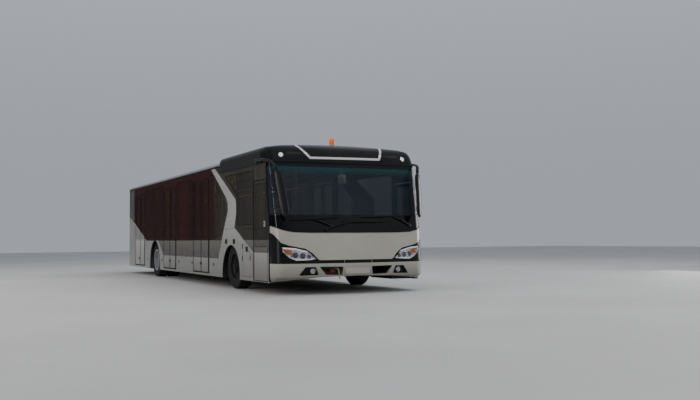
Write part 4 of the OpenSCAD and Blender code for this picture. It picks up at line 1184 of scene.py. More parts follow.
arms, blades, caps = Shape(), Shape(), Shape()
for pivot, elbow, blade_a, blade_b in WIPERS:
    centre, normal = on_front(pivot[0], pivot[1], 0.0)
    caps.grid(turned(CAP, centre, normal, 28), wrap_columns=True, caps=True)
    line = smooth([pivot, [(pivot[0] + elbow[0]) / 2, (pivot[1] + elbow[1]) / 2 + 0.012], elbow], 10)
    lift = 0.016 + 0.016 * np.sin(np.linspace(0, np.pi, len(line)))
    path, normal = on_front(line[:, 0], line[:, 1])
    path = path + lift[:, None] * normal
    width = np.linspace(0.017, 0.010, len(line))
    section = along(path, normal, ellipse(1.0, 0.6, 12, 3.0))
    section = path[:, None] + (section - path[:, None]) * width[:, None, None]
    arms.grid(section, wrap_columns=True, caps=True)
    line = dense([blade_a, blade_b], 0.03)
    path, normal = on_front(line[:, 0], line[:, 1], 0.0)
    for low, high, half in ((0.001, 0.009, 0.003), (0.009, 0.017, 0.008)):
        flat = np.array([[-half, low], [half, low], [half * 0.7, high], [-half * 0.7, high]])
        blades.grid(along(path, normal, flat), wrap_columns=True, caps=True)
    count = len(line)
    for a, b, high in BRIDGES:
        part = np.linspace(a, b, 9)
        at = np.stack([np.interp(part, np.linspace(0, 1, count), line[:, k]) for k in (0, 1)], axis=1)
        path, normal = on_front(at[:, 0], at[:, 1])
        rise = 0.017 + (high - 0.017) * np.sin(np.linspace(0, np.pi, 9)) ** 0.5
        bridge = along(path + rise[:, None] * normal, normal, ellipse(0.006, 0.003, 8))
        arms.grid(bridge, wrap_columns=True, caps=True)
arms_piece = arms.piece("wiper_arms", matt_black, slot="matt_black")
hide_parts("wipers")
blades.piece("wiper_blades", seal_rubber, slot="matt_black")
caps.piece("wiper_caps", matt_black, slot="matt_black")
print("wipers", len(arms.faces), "faces")


# %% [markdown]
# The mirrors hang like feelers. An arm leaves the corner of the cab roof, runs forward, and curves down into
# a long housing turned towards the driver. The arm is one tube along a smooth curve, and the housing is a
# rounded section carried down its own line, wide in the middle and narrow at both ends. Its glass faces back.

# %% Mirrors
# Points of the left mirror as x, station and height: root, elbow, bend, top and foot of the head
MIRROR = np.array([[1.646, 1.150, 2.570], [1.644, 0.660, 2.555], [1.590, 0.450, 2.500], [1.525, 0.340, 2.380],
    [1.430, 0.110, 1.450]])
ARM_FOOT = [[0.040, 0.0], [0.040, 0.010], [0.036, 0.016], [0.034, 0.040]]
# Each glass: where it starts and ends down the housing, its half width, and its rows of points
MIRROR_GLASSES = [(0.06, 0.60, 0.074, 15), (0.66, 0.92, 0.068, 9)]


def make_mirror(side, arm, housing, face):
    """Arm, housing and two glasses of one mirror. The housing's half width is 94 mm sqrt(1 - |2t - 1|^4.5)
    down its line t, and each glass bulges by 6 mm (1 - u^2) across."""
    root, elbow, bend, head, foot = (MIRROR - [0, HALF_L, 0]) * [side, 1.0, 1.0]
    line = smooth([root, root * 0.4 + elbow * 0.6 + np.array([0, 0, 0.010]), elbow, bend, head], 10)
    size = np.interp(np.linspace(0, 1, len(line)), [0, 0.5, 1], [0.033, 0.030, 0.033])
    section = along(line, [0.2, 0, 1.0], ellipse(1.0, 0.8, 16, 2.4))
    section = line[:, None] + (section - line[:, None]) * size[:, None, None]
    arm.grid(section, wrap_columns=True, caps=True)
    arm.grid(turned(ARM_FOOT, root * [0, 1, 1] + [side * HALF_W, 0, 0], [side, 0, 0], 28), wrap_columns=True,
        caps=True)
    t = np.linspace(0, 1, 33)
    axis = head + (foot - head) * t[:, None]
    axis[:, 1] -= 0.012 * np.sin(np.pi * t)
    across = unit(np.array([side * 0.77, 0.64, 0.0]))
    back = unit(np.array([-side * 0.64, 0.77, 0.0]))
    width = 0.094 * (1 - np.abs(2 * t - 1) ** 4.5) ** 0.5 + 0.004
    depth = 0.038 * (1 - np.abs(2 * t - 1) ** 6) ** 0.5 + 0.003
    round_ = ellipse(1, 1, 28, 2.6)
    sideways = across * (round_[None, :, :1] * width[:, None, None])
    body = axis[:, None] + sideways + back * (round_[None, :, 1:] * depth[:, None, None])
    housing.grid(body, wrap_columns=True, caps=True)
    for start, end, reach, rows in MIRROR_GLASSES:
        u, v = np.meshgrid(np.linspace(-1, 1, 13), np.linspace(start, end, rows))
        centre = head + (foot - head) * v[..., None]
        face.grid(centre + across * (u[..., None] * reach) + back * (0.0412 - 0.006 * u[..., None] ** 2))


mirror_shell = paint("mirror_shell", (0.006, 0.0065, 0.0075), 0.26, 0.0, 0.0, dust=0.05, gloss=0.25)
arm, housing, face = Shape(), Shape(), Shape()
for side in (-1, 1):
    make_mirror(side, arm, housing, face)
mirror_arms = arm.piece("mirror_arms", mirror_shell, slot="black_gloss")
housing.piece("mirror_housings", mirror_shell, slot="black_gloss")
face.piece("mirror_faces", mirror_glass, slot="black_gloss")
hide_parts("mirrors")
print("mirrors made")

# %% [markdown]
# An amber beacon stands in the middle of the cab roof, so that aircraft crews see the bus. It is a metal foot
# and a moulded dome, both turned round one upright axis, with fine ribs in the dome's finish instead of in
# its mesh.

# %% Beacon
beacon_base, beacon_dome = Shape(), Shape()
stand = np.array([0.0, VISOR_S + 0.150 - HALF_L, EAVE_Z + POD_RISE - 0.002])
foot = [[0.074, 0.0], [0.074, 0.012], [0.050, 0.022], [0.042, 0.045], [0.060, 0.052], [0.060, 0.060]]
beacon_base.grid(turned(foot, stand, [0, 0, 1], 40), wrap_columns=True, caps=True)
dome = [[0.058, 0.058], [0.061, 0.064], [0.062, 0.120], [0.058, 0.150], [0.045, 0.168], [0.022, 0.1755],
    [0.001, 0.1765]]
beacon_dome.grid(turned(dome, stand, [0, 0, 1], 48), wrap_columns=True, caps=True)
beacon_metal = plain("beacon_metal", (0.45, 0.42, 0.35), 0.4, 0.4)
beacon_base.piece("beacon_base", beacon_metal, slot="matt_black")
beacon_orange = lens("beacon_orange", (0.75, 0.13, 0.015), 0.92, 0.35, 400.0)
beacon_piece = beacon_dome.piece("beacon_dome", beacon_orange, slot="amber_lens")
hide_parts("beacon")
print("beacon on its foot")


# %% [markdown]
# A tyre is a section carried round the axle. Its tread is cut by four grooves all the way round and by short
# slanted slots, and its side carries raised rings. All of it comes from one formula: the radius is the
# section's radius, less the slot's depth where a saw-tooth of the angle says there is a slot.

# %% Tyres with tread
TYRE_R, TYRE_W = 0.480, 0.285
# Each axle: its station, and how far inside the body's face its outer tyre begins
WHEELS = {"front": (2.850, 0.075), "rear": (9.950, 0.045)}
TWIN_GAP = 0.045
# Slots round the tyre, each one's share of the way to the next, its depth, and its slant across the tread
SLOTS, SLOT_SHARE, SLOT_DEPTH, SLOT_SLANT = 54, 0.26, 0.005, 2.0


def tyre_section():
    """The outer half's section and its mirror image: (radius, depth from the outer face, 1 on ribs with
    slots)."""
    side = [(0.2864, 0.0300, 0), (0.2864, 0.0250, 0), (0.3042, 0.0247, 0), (0.3065, 0.0200, 0),
        (0.3150, 0.0150, 0), (0.3260, 0.0145, 0), (0.3400, 0.0100, 0), (0.3560, 0.0060, 0),
        (0.3600, 0.0035, 0), (0.3660, 0.0035, 0), (0.3700, 0.0040, 0), (0.3900, 0.0008, 0),
        (0.4150, 0.0020, 0), (0.4400, 0.0060, 0), (0.4430, 0.0045, 0), (0.4500, 0.0060, 0),
        (0.4620, 0.0130, 1), (0.4720, 0.0230, 1), (0.4780, 0.0340, 1), (0.4795, 0.0420, 1),
        (0.4798, 0.0620, 1)]
    tread = [(0.4670, 0.0640, 0), (0.4670, 0.0740, 0), (0.4800, 0.0760, 1), (0.4800, 0.1080, 1),
        (0.4670, 0.1100, 0), (0.4670, 0.1190, 0), (0.4800, 0.1210, 1), (0.4800, 0.1425, 1)]
    half = np.array(side + tread)
    other = half[-2::-1].copy()
    other[:, 1] = TYRE_W - other[:, 1]
    return np.concatenate([half, other])


def tyre_grid(centre, sign, n=216):
    """Point (i, j) = centre + depth * inwards + (r - slot) * (cos, sin). The slot is SLOT_DEPTH deep where the
    fraction of SLOTS * angle + slant is under SLOT_SHARE."""
    section = tyre_section()
    angle = np.arange(n) / n
    slant = section[:, 1] / TYRE_W * SLOT_SLANT
    wave = np.mod(angle[None] * SLOTS + slant[:, None], 1.0)
    slot = np.where(wave < SLOT_SHARE, SLOT_DEPTH, 0.0) * section[:, 2:3]
    radius = section[:, :1] - slot
    t = angle * 2 * np.pi
    x = np.broadcast_to(centre[0] + sign * section[:, 1:2], radius.shape)
    return np.stack([x, centre[1] + radius * np.cos(t), centre[2] + radius * np.sin(t)], axis=-1)


def wheel_centre(axle, side, twin=0):
    """Middle of a tyre's outer face, and the X direction from there inwards."""
    station, inset = WHEELS[axle]
    outer = HALF_W - inset - twin * (TYRE_W + TWIN_GAP)
    return np.array([side * outer, station - HALF_L, TYRE_R]), -side


for side, word in ((-1, "right"), (1, "left")):
    tyre = Shape().grid(tyre_grid(*wheel_centre("front", side)), wrap_rows=True, wrap_columns=True)
    front_tyre = tyre.piece("tyre_front_" + word, tyre_rubber, "front_wheel_" + word, "tyre")
    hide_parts("front_tyre_" + word)
    twins = Shape()
    for twin in (0, 1):
        twins.grid(tyre_grid(*wheel_centre("rear", side, twin)), wrap_rows=True, wrap_columns=True)
    rear_tyre = twins.piece("tyres_rear_" + word, tyre_rubber, "rear_wheel_" + word, "tyre")
    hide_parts("rear_tyres_" + word)
print("tyre faces", len(tyre.faces), "each")

# %% [markdown]
# Pressed steel rims come from the CAD, smoothed. The nuts, the axle flange's bolts, the hub cap and the valve
# are added here. Each nut is a six-sided prism with a domed end, and all of them are copies of one ring of
# points turned about the axle.

# %% Rims, nuts and hubs
HUB_BOLTS_R = 0.098


def around(points, centre, count, start=0.0):
    """Copies of points (rows x columns x 3, relative to the centre) turned about the X axis through it."""
    copies = []
    for angle in start + np.arange(count) * 2 * np.pi / count:
        c, s = math.cos(angle), math.sin(angle)
        turn = np.array([[1, 0, 0], [0, c, s], [0, -s, c]])
        copies.append(points @ turn + centre)
    return copies


def nut(radius, out, high, size, sign):
    """Hexagonal nut at radius from the axle, its foot out metres inwards from the wheel's outer face."""
    profile = [[size, 0.0], [size, high * 0.6], [size * 0.8, high * 0.62], [size * 0.62, high],
        [0.0005, high * 1.02]]
    return turned(profile, [sign * out, radius, 0], [-sign, 0, 0], 6)


def dress_wheel(axle, side, word):
    """Smoothed rim, ten nuts, hub cap with eight bolts, and the valve's stem."""
    centre, sign = wheel_centre(axle, side)
    body = axle + "_wheel_" + word
    nuts, hub = Shape(), Shape()
    if axle == "front":
        disc, ring_radius = 0.100, 0.150
        cap = [[0.112, 0.041], [0.112, 0.030], [0.098, 0.018], [0.072, 0.010], [0.070, -0.004], [0.058, -0.012],
            [0.002, -0.014]]
    else:
        disc, ring_radius = TYRE_W + TWIN_GAP / 2 - 0.020, 0.166
        cap = [[0.129, 0.130], [0.129, 0.118], [0.112, 0.106], [0.085, 0.100], [0.083, 0.084], [0.070, 0.078],
            [0.002, 0.076]]
    rim_nuts = around(nut(ring_radius, disc + 0.002, 0.026, 0.013, sign), centre, 10, math.pi / 10)
    hub.grid(turned(cap, centre, [sign, 0, 0], 40), wrap_columns=True, caps=True)
    hub_bolts = around(nut(HUB_BOLTS_R, cap[2][1] + 0.002, 0.010, 0.007, sign), centre, 8)
    for copy in rim_nuts + hub_bolts:
        nuts.grid(copy, wrap_columns=True, caps=True)
    stem = [[sign * 0.060, 0.0, 0.250], [sign * 0.030, 0.0, 0.246], [sign * 0.014, 0.0, 0.240]]
    tube(nuts, np.array(stem) + centre, 0.005, 8)
    # The front wheel's rim, nuts and hub take the near-black finish: painted shade of the arch
    steel = front_rim_shaded if axle == "front" else rim_steel
    nuts.piece("nuts_" + axle + "_" + word, steel if axle == "front" else bare_steel, body, "rim_steel")
    hub.piece("hub_" + axle + "_" + word, steel, body, "rim_steel")
    rim = "front_rim_" + word if axle == "front" else "rear_rims_" + word
    smooth_copy(rim, steel, body)


for side, word in ((-1, "right"), (1, "left")):
    for axle in ("front", "rear"):
        dress_wheel(axle, side, word)
print("four wheels dressed")


# %% [markdown]
# The sides are flat, so their trim is placed by station and height alone. A helper turns such points into
# places on the left or right face. Black rubber marks the door edges, thin lines mark the panel joints and
# panes, and a drip rail runs under the roof's edge.

# %% Trim of the sides
def on_side(points, side, out=0.0):
    """Station and height to a point on the side's face, moved outwards by out."""
    points = np.asarray(points, float)
    x = np.full(len(points), side * (HALF_W + out))
    return np.stack([x, points[:, 0] - HALF_L, points[:, 1]], axis=1)


def side_strip(shape, points, side, width, height, out=0.0, closed=False):
    """Strip along a line of stations and heights, on the side's face or moved outwards by out."""
    path = dense(np.concatenate([points, points[:1]]) if closed else points, 0.4)
    if closed:
        path = path[:-1]
    return bead(shape, on_side(path, side, out), [side, 0, 0], width, height, closed)


def side_block(shape, s0, s1, z0, z1, side, out, sink=0.004):
    """Box on the side's face, standing out by out."""
    low, high = sorted((side * (HALF_W - sink), side * (HALF_W + out)))
    return block(shape, (low, s0 - HALF_L, z0), (high, s1 - HALF_L, z1), 0.004)


def box_line(s0, s1, z0, z1):
    """The four corners of an upright rectangle."""
    return [[s0, z0], [s1, z0], [s1, z1], [s0, z1]]


CANT_Z = 2.660
SKIRT_Z = 0.225
CAB_WINDOW = [[1.465, 1.340], [1.465, 2.410], [3.290, 2.410], [2.430, 1.950], [2.390, 1.800], [2.380, 1.600],
    [2.470, 1.340]]
BAND_WINDOW = [[4.340, 1.110], [4.340, 2.540], [4.240, 2.540], [3.320, 1.935], [3.180, 1.790], [3.180, 1.670],
    [3.410, 1.340], [3.510, 1.190], [3.710, 1.110]]
# Stations where each plain window starts and ends
BAYS = [[5.950, 7.385], [8.985, 10.0425], [10.1025, 11.160]]
HATCH = [[2.060, 0.300], [1.480, 0.300], [1.480, 0.720], [2.060, 0.960]]
LATCHES = [4.097, 5.116, 5.190, 5.930, 7.198, 8.140, 8.215, 9.082, 10.910, 12.000, 12.075]
HATCH_LATCHES = [[2.085, 0.905], [2.090, 0.665], [1.600, 0.670]]
SQUARES = [[3.184, 1.002], [2.641, 1.002], [1.814, 0.848]]
# Each joint between panels: its line, width and height
JOINTS = [([[1.405, 1.262], [2.560, 1.262]], 0.007, 0.0015), ([[1.405, 2.235], [3.000, 2.235]], 0.006, 0.0015),
    ([[2.600, 1.290], [3.330, 1.262]], 0.006, 0.0015), ([[1.410, SKIRT_Z], [1.410, 2.505]], 0.022, 0.002),
    ([[3.420, 0.850], [3.720, 1.110]], 0.006, 0.0015), ([[12.830, SKIRT_Z], [12.830, 2.640]], 0.008, 0.0015),
    ([[9.300, SKIRT_Z], [9.300, 0.480]], 0.006, 0.0015), ([[10.700, SKIRT_Z], [10.700, 0.480]], 0.006, 0.0015)]

joints_dark, panes_dark, pillars, drip, marks, squares = (Shape() for _ in range(6))
for side in (-1, 1):
    side_strip(pillars, [[0.518, 0.235], [0.518, 1.290], [0.687, 2.505]], side, 0.056, 0.0035)
    for window in (CAB_WINDOW, BAND_WINDOW):
        side_strip(panes_dark, window, side, 0.012, 0.002, closed=True)
    for s0, s1 in BAYS:
        side_strip(panes_dark, box_line(s0, s1, 1.110, 2.540), side, 0.012, 0.002, closed=True)
    for line, width, height in JOINTS:
        side_strip(joints_dark, line, side, width, height)
    side_strip(joints_dark, HATCH, side, 0.007, 0.0015, closed=True)
    side_strip(drip, [[3.660, CANT_Z + 0.002], [13.570, CANT_Z + 0.002]], side, 0.036, 0.010)
    side_strip(drip, [[0.720, EAVE_Z - 0.010], [3.625, EAVE_Z - 0.010]], side, 0.014, 0.008)
    for s in LATCHES:
        side_block(marks, s - 0.032, s + 0.032, 0.458, 0.518, side, 0.005)
    for s, z in HATCH_LATCHES:
        side_block(marks, s - 0.013, s + 0.013, z - 0.050, z + 0.050, side, 0.006)
    for s, z in SQUARES:
        side_block(squares, s - 0.072, s + 0.072, z - 0.052, z + 0.052, side, 0.003)
pillars.piece("front_pillar_strips", seal_rubber, slot="matt_black")
panes_dark.piece("window_seals", seal_rubber, slot="matt_black")
joints_dark.piece("panel_joints", seal_rubber, slot="matt_black")
drip.piece("drip_rails", matt_black, slot="matt_black")
marks.piece("latches", matt_black, slot="matt_black")
squares.piece("filler_covers", matt_black, slot="matt_black")
print("side trim", len(panes_dark.faces) + len(joints_dark.faces), "faces")

# %% [markdown]
# A double door has a thick rubber finger guard down its leading edge, thin seals where the leaves meet, a
# kick strip at its foot and an inner grab rail. These pieces ride on their leaf, so they turn with it.

# %% Dressed doors
DOOR_CENTRE = {"front": 5.150, "middle": 8.185, "rear": 11.960}
DOOR_FOOT, DOOR_TOP = 0.280, 2.447
PANE_FOOT, PANE_TOP = 1.100, 2.377
# How far a leaf's face lies inside the body's face, and how far from the door's middle a leaf ends and begins
LEAF_FACE, LEAF_OUTER, LEAF_INNER = 0.005, 0.692, 0.005


def upright(s):
    """Line up a leaf at one station."""
    return [[s, DOOR_FOOT + 0.004], [s, DOOR_TOP - 0.004]]


def dress_leaf(side, word, name, half):
    """Rubber strips, kick strip, pane seal and grab rail of one leaf."""
    toward = -1 if half == "a" else 1
    outer, inner = DOOR_CENTRE[name] + toward * LEAF_OUTER, DOOR_CENTRE[name] + toward * LEAF_INNER
    guard = 0.105 if half == "a" else 0.020
    low, high = sorted((outer - toward * guard, inner))
    # Each strip: its line, width and height
    strips = [(upright(outer - toward * (guard / 2 + 0.002)), guard, 0.003),
        (upright(inner + toward * 0.009), 0.014, 0.003),
        ([[low, DOOR_TOP - 0.010], [high, DOOR_TOP - 0.010]], 0.012, 0.002),
        ([[low, DOOR_FOOT + 0.012], [high, DOOR_FOOT + 0.012]], 0.020, 0.003)]
    rubber, rail = Shape(), Shape()
    for line, width, height in strips:
        side_strip(rubber, line, side, width, height, -LEAF_FACE)
    s0, s1 = sorted((outer - toward * 0.070, inner + toward * 0.070))
    side_strip(rubber, box_line(s0, s1, PANE_FOOT, PANE_TOP), side, 0.010, 0.0015, -LEAF_FACE, closed=True)
    body = "leaf_%s_%s_%s" % (word, name, half)
    rubber.piece("rubber_" + body, seal_rubber, body, "matt_black")
    at = inner + toward * 0.100
    inside = side * (HALF_W - LEAF_FACE - 0.045)
    bar = [[0, 1.000], [0.045, 1.030], [0.045, 1.900], [0, 1.930]]
    line = dense([[inside - side * depth, at - HALF_L, z] for depth, z in bar], 0.05)
    tube(rail, line, 0.011, 10)
    rail.piece("rail_" + body, rail_paint, body, "rail_paint")


for side, word in ((-1, "right"), (1, "left")):
    for name in DOOR_CENTRE:
        for half in "ab":
            dress_leaf(side, word, name, half)


print("twelve leaves dressed")


# %% [markdown]
# A cab door swings outwards on hinges. It has a seal round its edge and another round its pane, a fine line
# at the belt, and a bow handle over a small steel plate.

# %% Dressed cab doors
CAB_DOOR_FACE = 0.003
CAB_DOOR_EDGE = [[0.610, 0.245], [0.610, 1.250], [0.683, 2.180], [1.377, 2.180], [1.377, 0.245]]
CAB_DOOR_PANE = [[0.670, 0.900], [0.670, 1.250], [0.740, 2.120], [1.315, 2.120], [1.315, 0.900]]


def dress_cab_door(side, word):
    """Edge seal, belt line, handle and pane seal of a cab door."""
    body = "cab_door_" + word
    trim, handle, plate = Shape(), Shape(), Shape()
    side_strip(trim, CAB_DOOR_EDGE, side, 0.012, 0.003, -CAB_DOOR_FACE, closed=True)
    side_strip(trim, [[0.620, 1.262], [1.367, 1.262]], side, 0.007, 0.0015, -CAB_DOOR_FACE)
    side_strip(trim, CAB_DOOR_PANE, side, 0.012, 0.002, -CAB_DOOR_FACE, closed=True)
    trim.piece("trim_" + body, seal_rubber, body, "matt_black")
    low, high = sorted((side * (HALF_W - 0.008), side * (HALF_W + 0.003)))
    block(plate, (low, 0.745 - HALF_L, 1.285), (high, 0.845 - HALF_L, 1.395), 0.012)
    plate.piece("handle_plate_" + word, bare_steel, body, "rim_steel")
    x = side * (HALF_W + 0.022)
    tube(handle, smooth([[side * HALF_W, 0.765 - HALF_L, 1.345], [x, 0.772 - HALF_L, 1.345],
        [x, 0.82 - HALF_L, 1.345], [side * HALF_W, 0.829 - HALF_L, 1.345]], 5), 0.007, 10)
    handle.piece("handle_" + word, matt_black, body, "matt_black")


for side, word in ((-1, "right"), (1, "left")):
    dress_cab_door(side, word)
print("two cab doors dressed")


# %% [markdown]
# The walls, doors and roof keep the CAD's shape, because it is right, and take finishes only. The livery runs
# over them by height. Each double door has panes, so its finish knows where they are.

# %% Finishes for walls, doors and roof
def use(node, material):
    """Puts a finish on a CAD node."""
    data = nodes[node].data
    data.materials.clear()
    data.materials.append(material)


def door_panes(name):
    """The two glass areas of a double door, each as y low, y high, z low and z high."""
    middle = DOOR_CENTRE[name]
    return [(middle - 0.622 - HALF_L, middle - 0.075 - HALF_L, PANE_FOOT, PANE_TOP),
        (middle + 0.075 - HALF_L, middle + 0.622 - HALF_L, PANE_FOOT, PANE_TOP)]


# The silver's edge over the rear doors: its rise for each metre, and its height at a station
REAR_SLOPE, REAR_EDGE_Z, REAR_EDGE_S = 0.3155, 1.158, 11.42
CAB_BELT = 0.785
CAB_PANE = (0.670 - HALF_L, 1.315 - HALF_L, 0.9, 2.12)
film_wall = livery("film_wall")
door_finish = {name: livery("door_" + name, BELT, 0.0, door_panes(name)) for name in ("front", "middle")}
door_finish["rear"] = livery("door_rear", REAR_EDGE_Z - REAR_SLOPE * (REAR_EDGE_S - HALF_L), REAR_SLOPE,
    door_panes("rear"))
cab_finish = livery("cab_door", CAB_BELT, 0.0, [CAB_PANE])
for side in ("right", "left"):
    use("side_wall_" + side, film_wall)
    use("side_panels_" + side, silver_side)
    use("side_windows_" + side, side_pane)
    use("cab_door_" + side, cab_finish)
    for name in DOOR_CENTRE:
        for half in "ab":
            use("leaf_%s_%s_%s" % (side, name, half), door_finish[name])
for node, material in {"rear_wall": silver_paint, "rear_lid": silver_paint, "rear_bumper": silver_paint,
        "rear_window": side_pane, "tail_lamps": red_lens, "floor": safety_floor, "chassis_frame": chassis_black,
        "front_axle": chassis_black, "rear_axle": chassis_black, "engine_block": cast_engine,
        "cab_platform": dash_plastic, "dashboard": dash_plastic, "driver_seat": driver_cloth,
        "passenger_seats": seat_cloth, "handrails": rail_paint, "knuckle_right": chassis_black,
        "knuckle_left": chassis_black}.items():
    use(node, material)
# The front rims take the near-black finish, painted shade of the wheel arch
for side in ("right", "left"):
    use("front_rim_" + side, front_rim_shaded)
    use("front_tyre_" + side, tyre_rubber)
    use("rear_rims_" + side, rim_steel)
    use("rear_tyres_" + side, tyre_rubber)
smooth_copy("roof", roof_paint)
smooth_copy("cab_roof", cab_roof_paint)
print("finishes on", len(nodes), "nodes")


# %% [markdown]
# The back is finished as on buses of this kind, since the photograph doesn't show it. The window gets its
# rubber, the service lid gets louvres to let the engine breathe and a flat pull, the lamps are split into
# four lenses, and a bar-shaped brake lamp sits above the window. The rear skin is flat with a round corner at
# each side, so a point on it follows from x alone.

# %% The rear
REAR_R = 0.220
REAR_SINK = 0.0026


def on_rear(x, z, lift=0.0):
    """Point on the rear skin: flat up to the corner, then y = yc + sqrt(r^2 - (|x| - xc)^2). The normal is the
    circle's."""
    x, z = np.broadcast_arrays(np.asarray(x, float), np.asarray(z, float))
    over = np.clip(np.abs(x) - (HALF_W - REAR_R), 0, REAR_R)
    rise = np.sqrt(REAR_R ** 2 - over ** 2)
    normal = np.stack([np.sign(x) * over / REAR_R, rise / REAR_R, 0 * x], axis=-1)
    return np.stack([x, HALF_L - REAR_R + rise, z], axis=-1) + lift * normal, normal


def rear_strip(shape, xz, width, height=0.0030, closed=False, lift=-REAR_SINK):
    """Strip on the rear skin, sunk so that it stands 0.4 mm proud of the CAD's last face."""
    points = dense(np.concatenate([xz, xz[:1]]) if closed else xz, 0.02)
    points = points[:-1] if closed else points
    path, normal = on_rear(points[:, 0], points[:, 1], lift)
    return bead(shape, path, normal, width, height, closed)


def frame_of(x, z0, z1):
    """Rectangle from -x to x."""
    return np.array([[-x, z0], [x, z0], [x, z1], [-x, z1]])


rear_seals = rear_strip(Shape(), frame_of(1.050, 1.450, 2.350), 0.030, 0.0040, closed=True, lift=-0.0036)
rear_strip(rear_seals, [[-1.56, 0.557], [1.56, 0.557]], 0.010)
louvres, lid_trim, lamp_trim, brake = (Shape() for _ in range(4))
SLAT = [[-0.013, 0.0], [0.013, 0.0], [0.009, 0.0038], [-0.002, 0.0042], [-0.013, 0.0012]]
for i in range(9):
    path, normal = on_rear(np.linspace(-0.58, 0.58, 25), 0.740 + 0.040 * i, -0.0038)
    louvres.grid(along(path, normal, SLAT), wrap_columns=True, caps=True)
rear_strip(lid_trim, frame_of(0.794, 0.626, 1.174), 0.010, closed=True)
rear_strip(lid_trim, [[-0.07, 0.665], [0.07, 0.665]], 0.026)
for side in (-1, 1):
    for z in (0.645, 0.760, 0.880, 1.000, 1.115):
        rear_strip(lamp_trim, [[side * 1.292, z], [side * 1.428, z]], 0.010)
    for x in (1.293, 1.427):
        rear_strip(lamp_trim, [[side * x, 0.645], [side * x, 1.115]], 0.008)
block(brake, (-0.300, HALF_L - 0.024, 2.430), (0.300, HALF_L + 0.0004, 2.462), 0.006)
rear_plate = block(Shape(), (-0.260, HALF_L - 0.020, 0.330), (0.260, HALF_L + 0.0003, 0.445), 0.001)
rear_seals.piece("rear_seals", seal_rubber, slot="matt_black")
louvres.piece("lid_louvres", matt_black, "rear_lid", "matt_black")
lid_trim.piece("lid_trim", seal_rubber, "rear_lid", "matt_black")
lamp_trim.piece("tail_lamp_bezels", matt_black, slot="matt_black")
brake.piece("high_brake_lamp", red_lens, slot="red_lens")
rear_plate.piece("rear_blank_plate", plate_enamel, slot="mask_paint")
print("rear dressed with", len(louvres.faces), "louvre faces")

# %% [markdown]
# The main roof is made of sheets, and each joint is a flat strip of sealant across it. The strip follows the
# roof's own section: a wide crown and two tight shoulders.

# %% Roof joints
ROOF_TOP, ROOF_R = 2.833, 0.080


def roof_section(n=41):
    """x and z over the roof, and the normals there. On the crown z = top - R + R cos a at x = R sin a, and then
    each shoulder goes on by its own angle."""
    cx = HALF_W - ROOF_R
    turn = math.asin(cx / (CROWN_R - ROOF_R))
    a = np.linspace(0, turn, n)
    b = np.linspace(turn, np.pi * 0.47, 8)[1:]
    centre_z = ROOF_TOP - CROWN_R + math.sqrt((CROWN_R - ROOF_R) ** 2 - cx ** 2)
    crown = np.stack([CROWN_R * np.sin(a), ROOF_TOP - CROWN_R + CROWN_R * np.cos(a)], axis=1)
    shoulder = np.stack([cx + ROOF_R * np.sin(b), centre_z + ROOF_R * np.cos(b)], axis=1)
    half = np.concatenate([crown, shoulder])
    turns = np.concatenate([a, b])
    normal = np.stack([np.sin(turns), np.cos(turns)], axis=1)
    flip = np.array([-1.0, 1.0])
    return np.concatenate([half[:0:-1] * flip, half]), np.concatenate([normal[:0:-1] * flip, normal])


ROOF_JOINTS = (4.45, 6.10, 7.75, 9.40, 11.05, 12.70)
roof_joints = Shape()
section, section_normal = roof_section()
for s in ROOF_JOINTS:
    path = np.insert(section, 1, s - HALF_L, axis=1)
    normal = np.insert(section_normal, 1, 0.0, axis=1)
    roof_joints.grid(along(path, normal, strip_profile(0.045, 0.0022)), wrap_columns=True, caps=True)
roof_joints.piece("roof_joints", roof_paint, slot="roof_paint")
print(len(ROOF_JOINTS), "roof joints")

# %% [markdown]
# Seats are foam under woven cloth. Each pad starts as a plain rounded slab. It is remeshed into even cells,
# blown up like cloth with a little air in it, held back along its stitched seams, and smoothed once. No point
# moves more than a set reach, so a pad keeps its seat's place. A pad could be drawn by hand instead, but the
# simulation gives the taut middle and the drawn-in seams in the way real covers do.

# %% Padded seats
CLOTH_FRAMES = 20


def settle(piece):
    """Turns what the modifiers show into the piece's own mesh."""
    graph = bpy.context.evaluated_depsgraph_get()
    new = bpy.data.meshes.new_from_object(piece.evaluated_get(graph))
    piece.modifiers.clear()
    piece.data = new


def places(mesh):
    """The mesh's points as an n x 3 array."""
    flat = np.empty(len(mesh.vertices) * 3)
    mesh.vertices.foreach_get("co", flat)
    return flat.reshape(-1, 3)


def stuff(shape, name, material, seams, cell=0.014, reach=0.024):
    """Padded piece from slabs. seams(points) is true where the cover is stitched down and stays put."""
    piece = shape.piece(name, material, slot="seat_fabric")
    remesh = piece.modifiers.new("remesh", "REMESH")
    remesh.mode, remesh.voxel_size = "VOXEL", cell
    settle(piece)
    before = places(piece.data)
    group = piece.vertex_groups.new(name="seam")
    group.add(np.flatnonzero(seams(before)).tolist(), 1.0, "REPLACE")
    cloth_step = piece.modifiers.new("cloth", "CLOTH")
    settings = cloth_step.settings
    settings.use_pressure, settings.uniform_pressure_force = True, 4.0
    settings.effector_weights.gravity = 0.0
    settings.vertex_group_mass = "seam"
    cloth_step.point_cache.frame_end = CLOTH_FRAMES
    for step in range(1, CLOTH_FRAMES + 1):
        bpy.context.scene.frame_set(step)
    graph = bpy.context.evaluated_depsgraph_get()
    move = places(piece.evaluated_get(graph).data) - before
    length = np.linalg.norm(move, axis=1, keepdims=True)
    capped = before + move * np.minimum(1.0, reach / np.maximum(length, 1e-9))
    piece.modifiers.clear()
    piece.data.vertices.foreach_set("co", capped.ravel())
    bpy.context.scene.frame_set(1)
    print(name, "moved up to", round(float(length.max()) * 1000), "mm, kept to", round(reach * 1000))
    piece.data.materials.clear()
    piece.data.materials.append(material)
    piece.data.polygons.foreach_set("use_smooth", np.ones(len(piece.data.polygons), bool))
    smoother = piece.modifiers.new("smooth", "SUBSURF")
    smoother.levels = smoother.render_levels = 1
    return piece


print("cloth runs for", CLOTH_FRAMES, "frames")


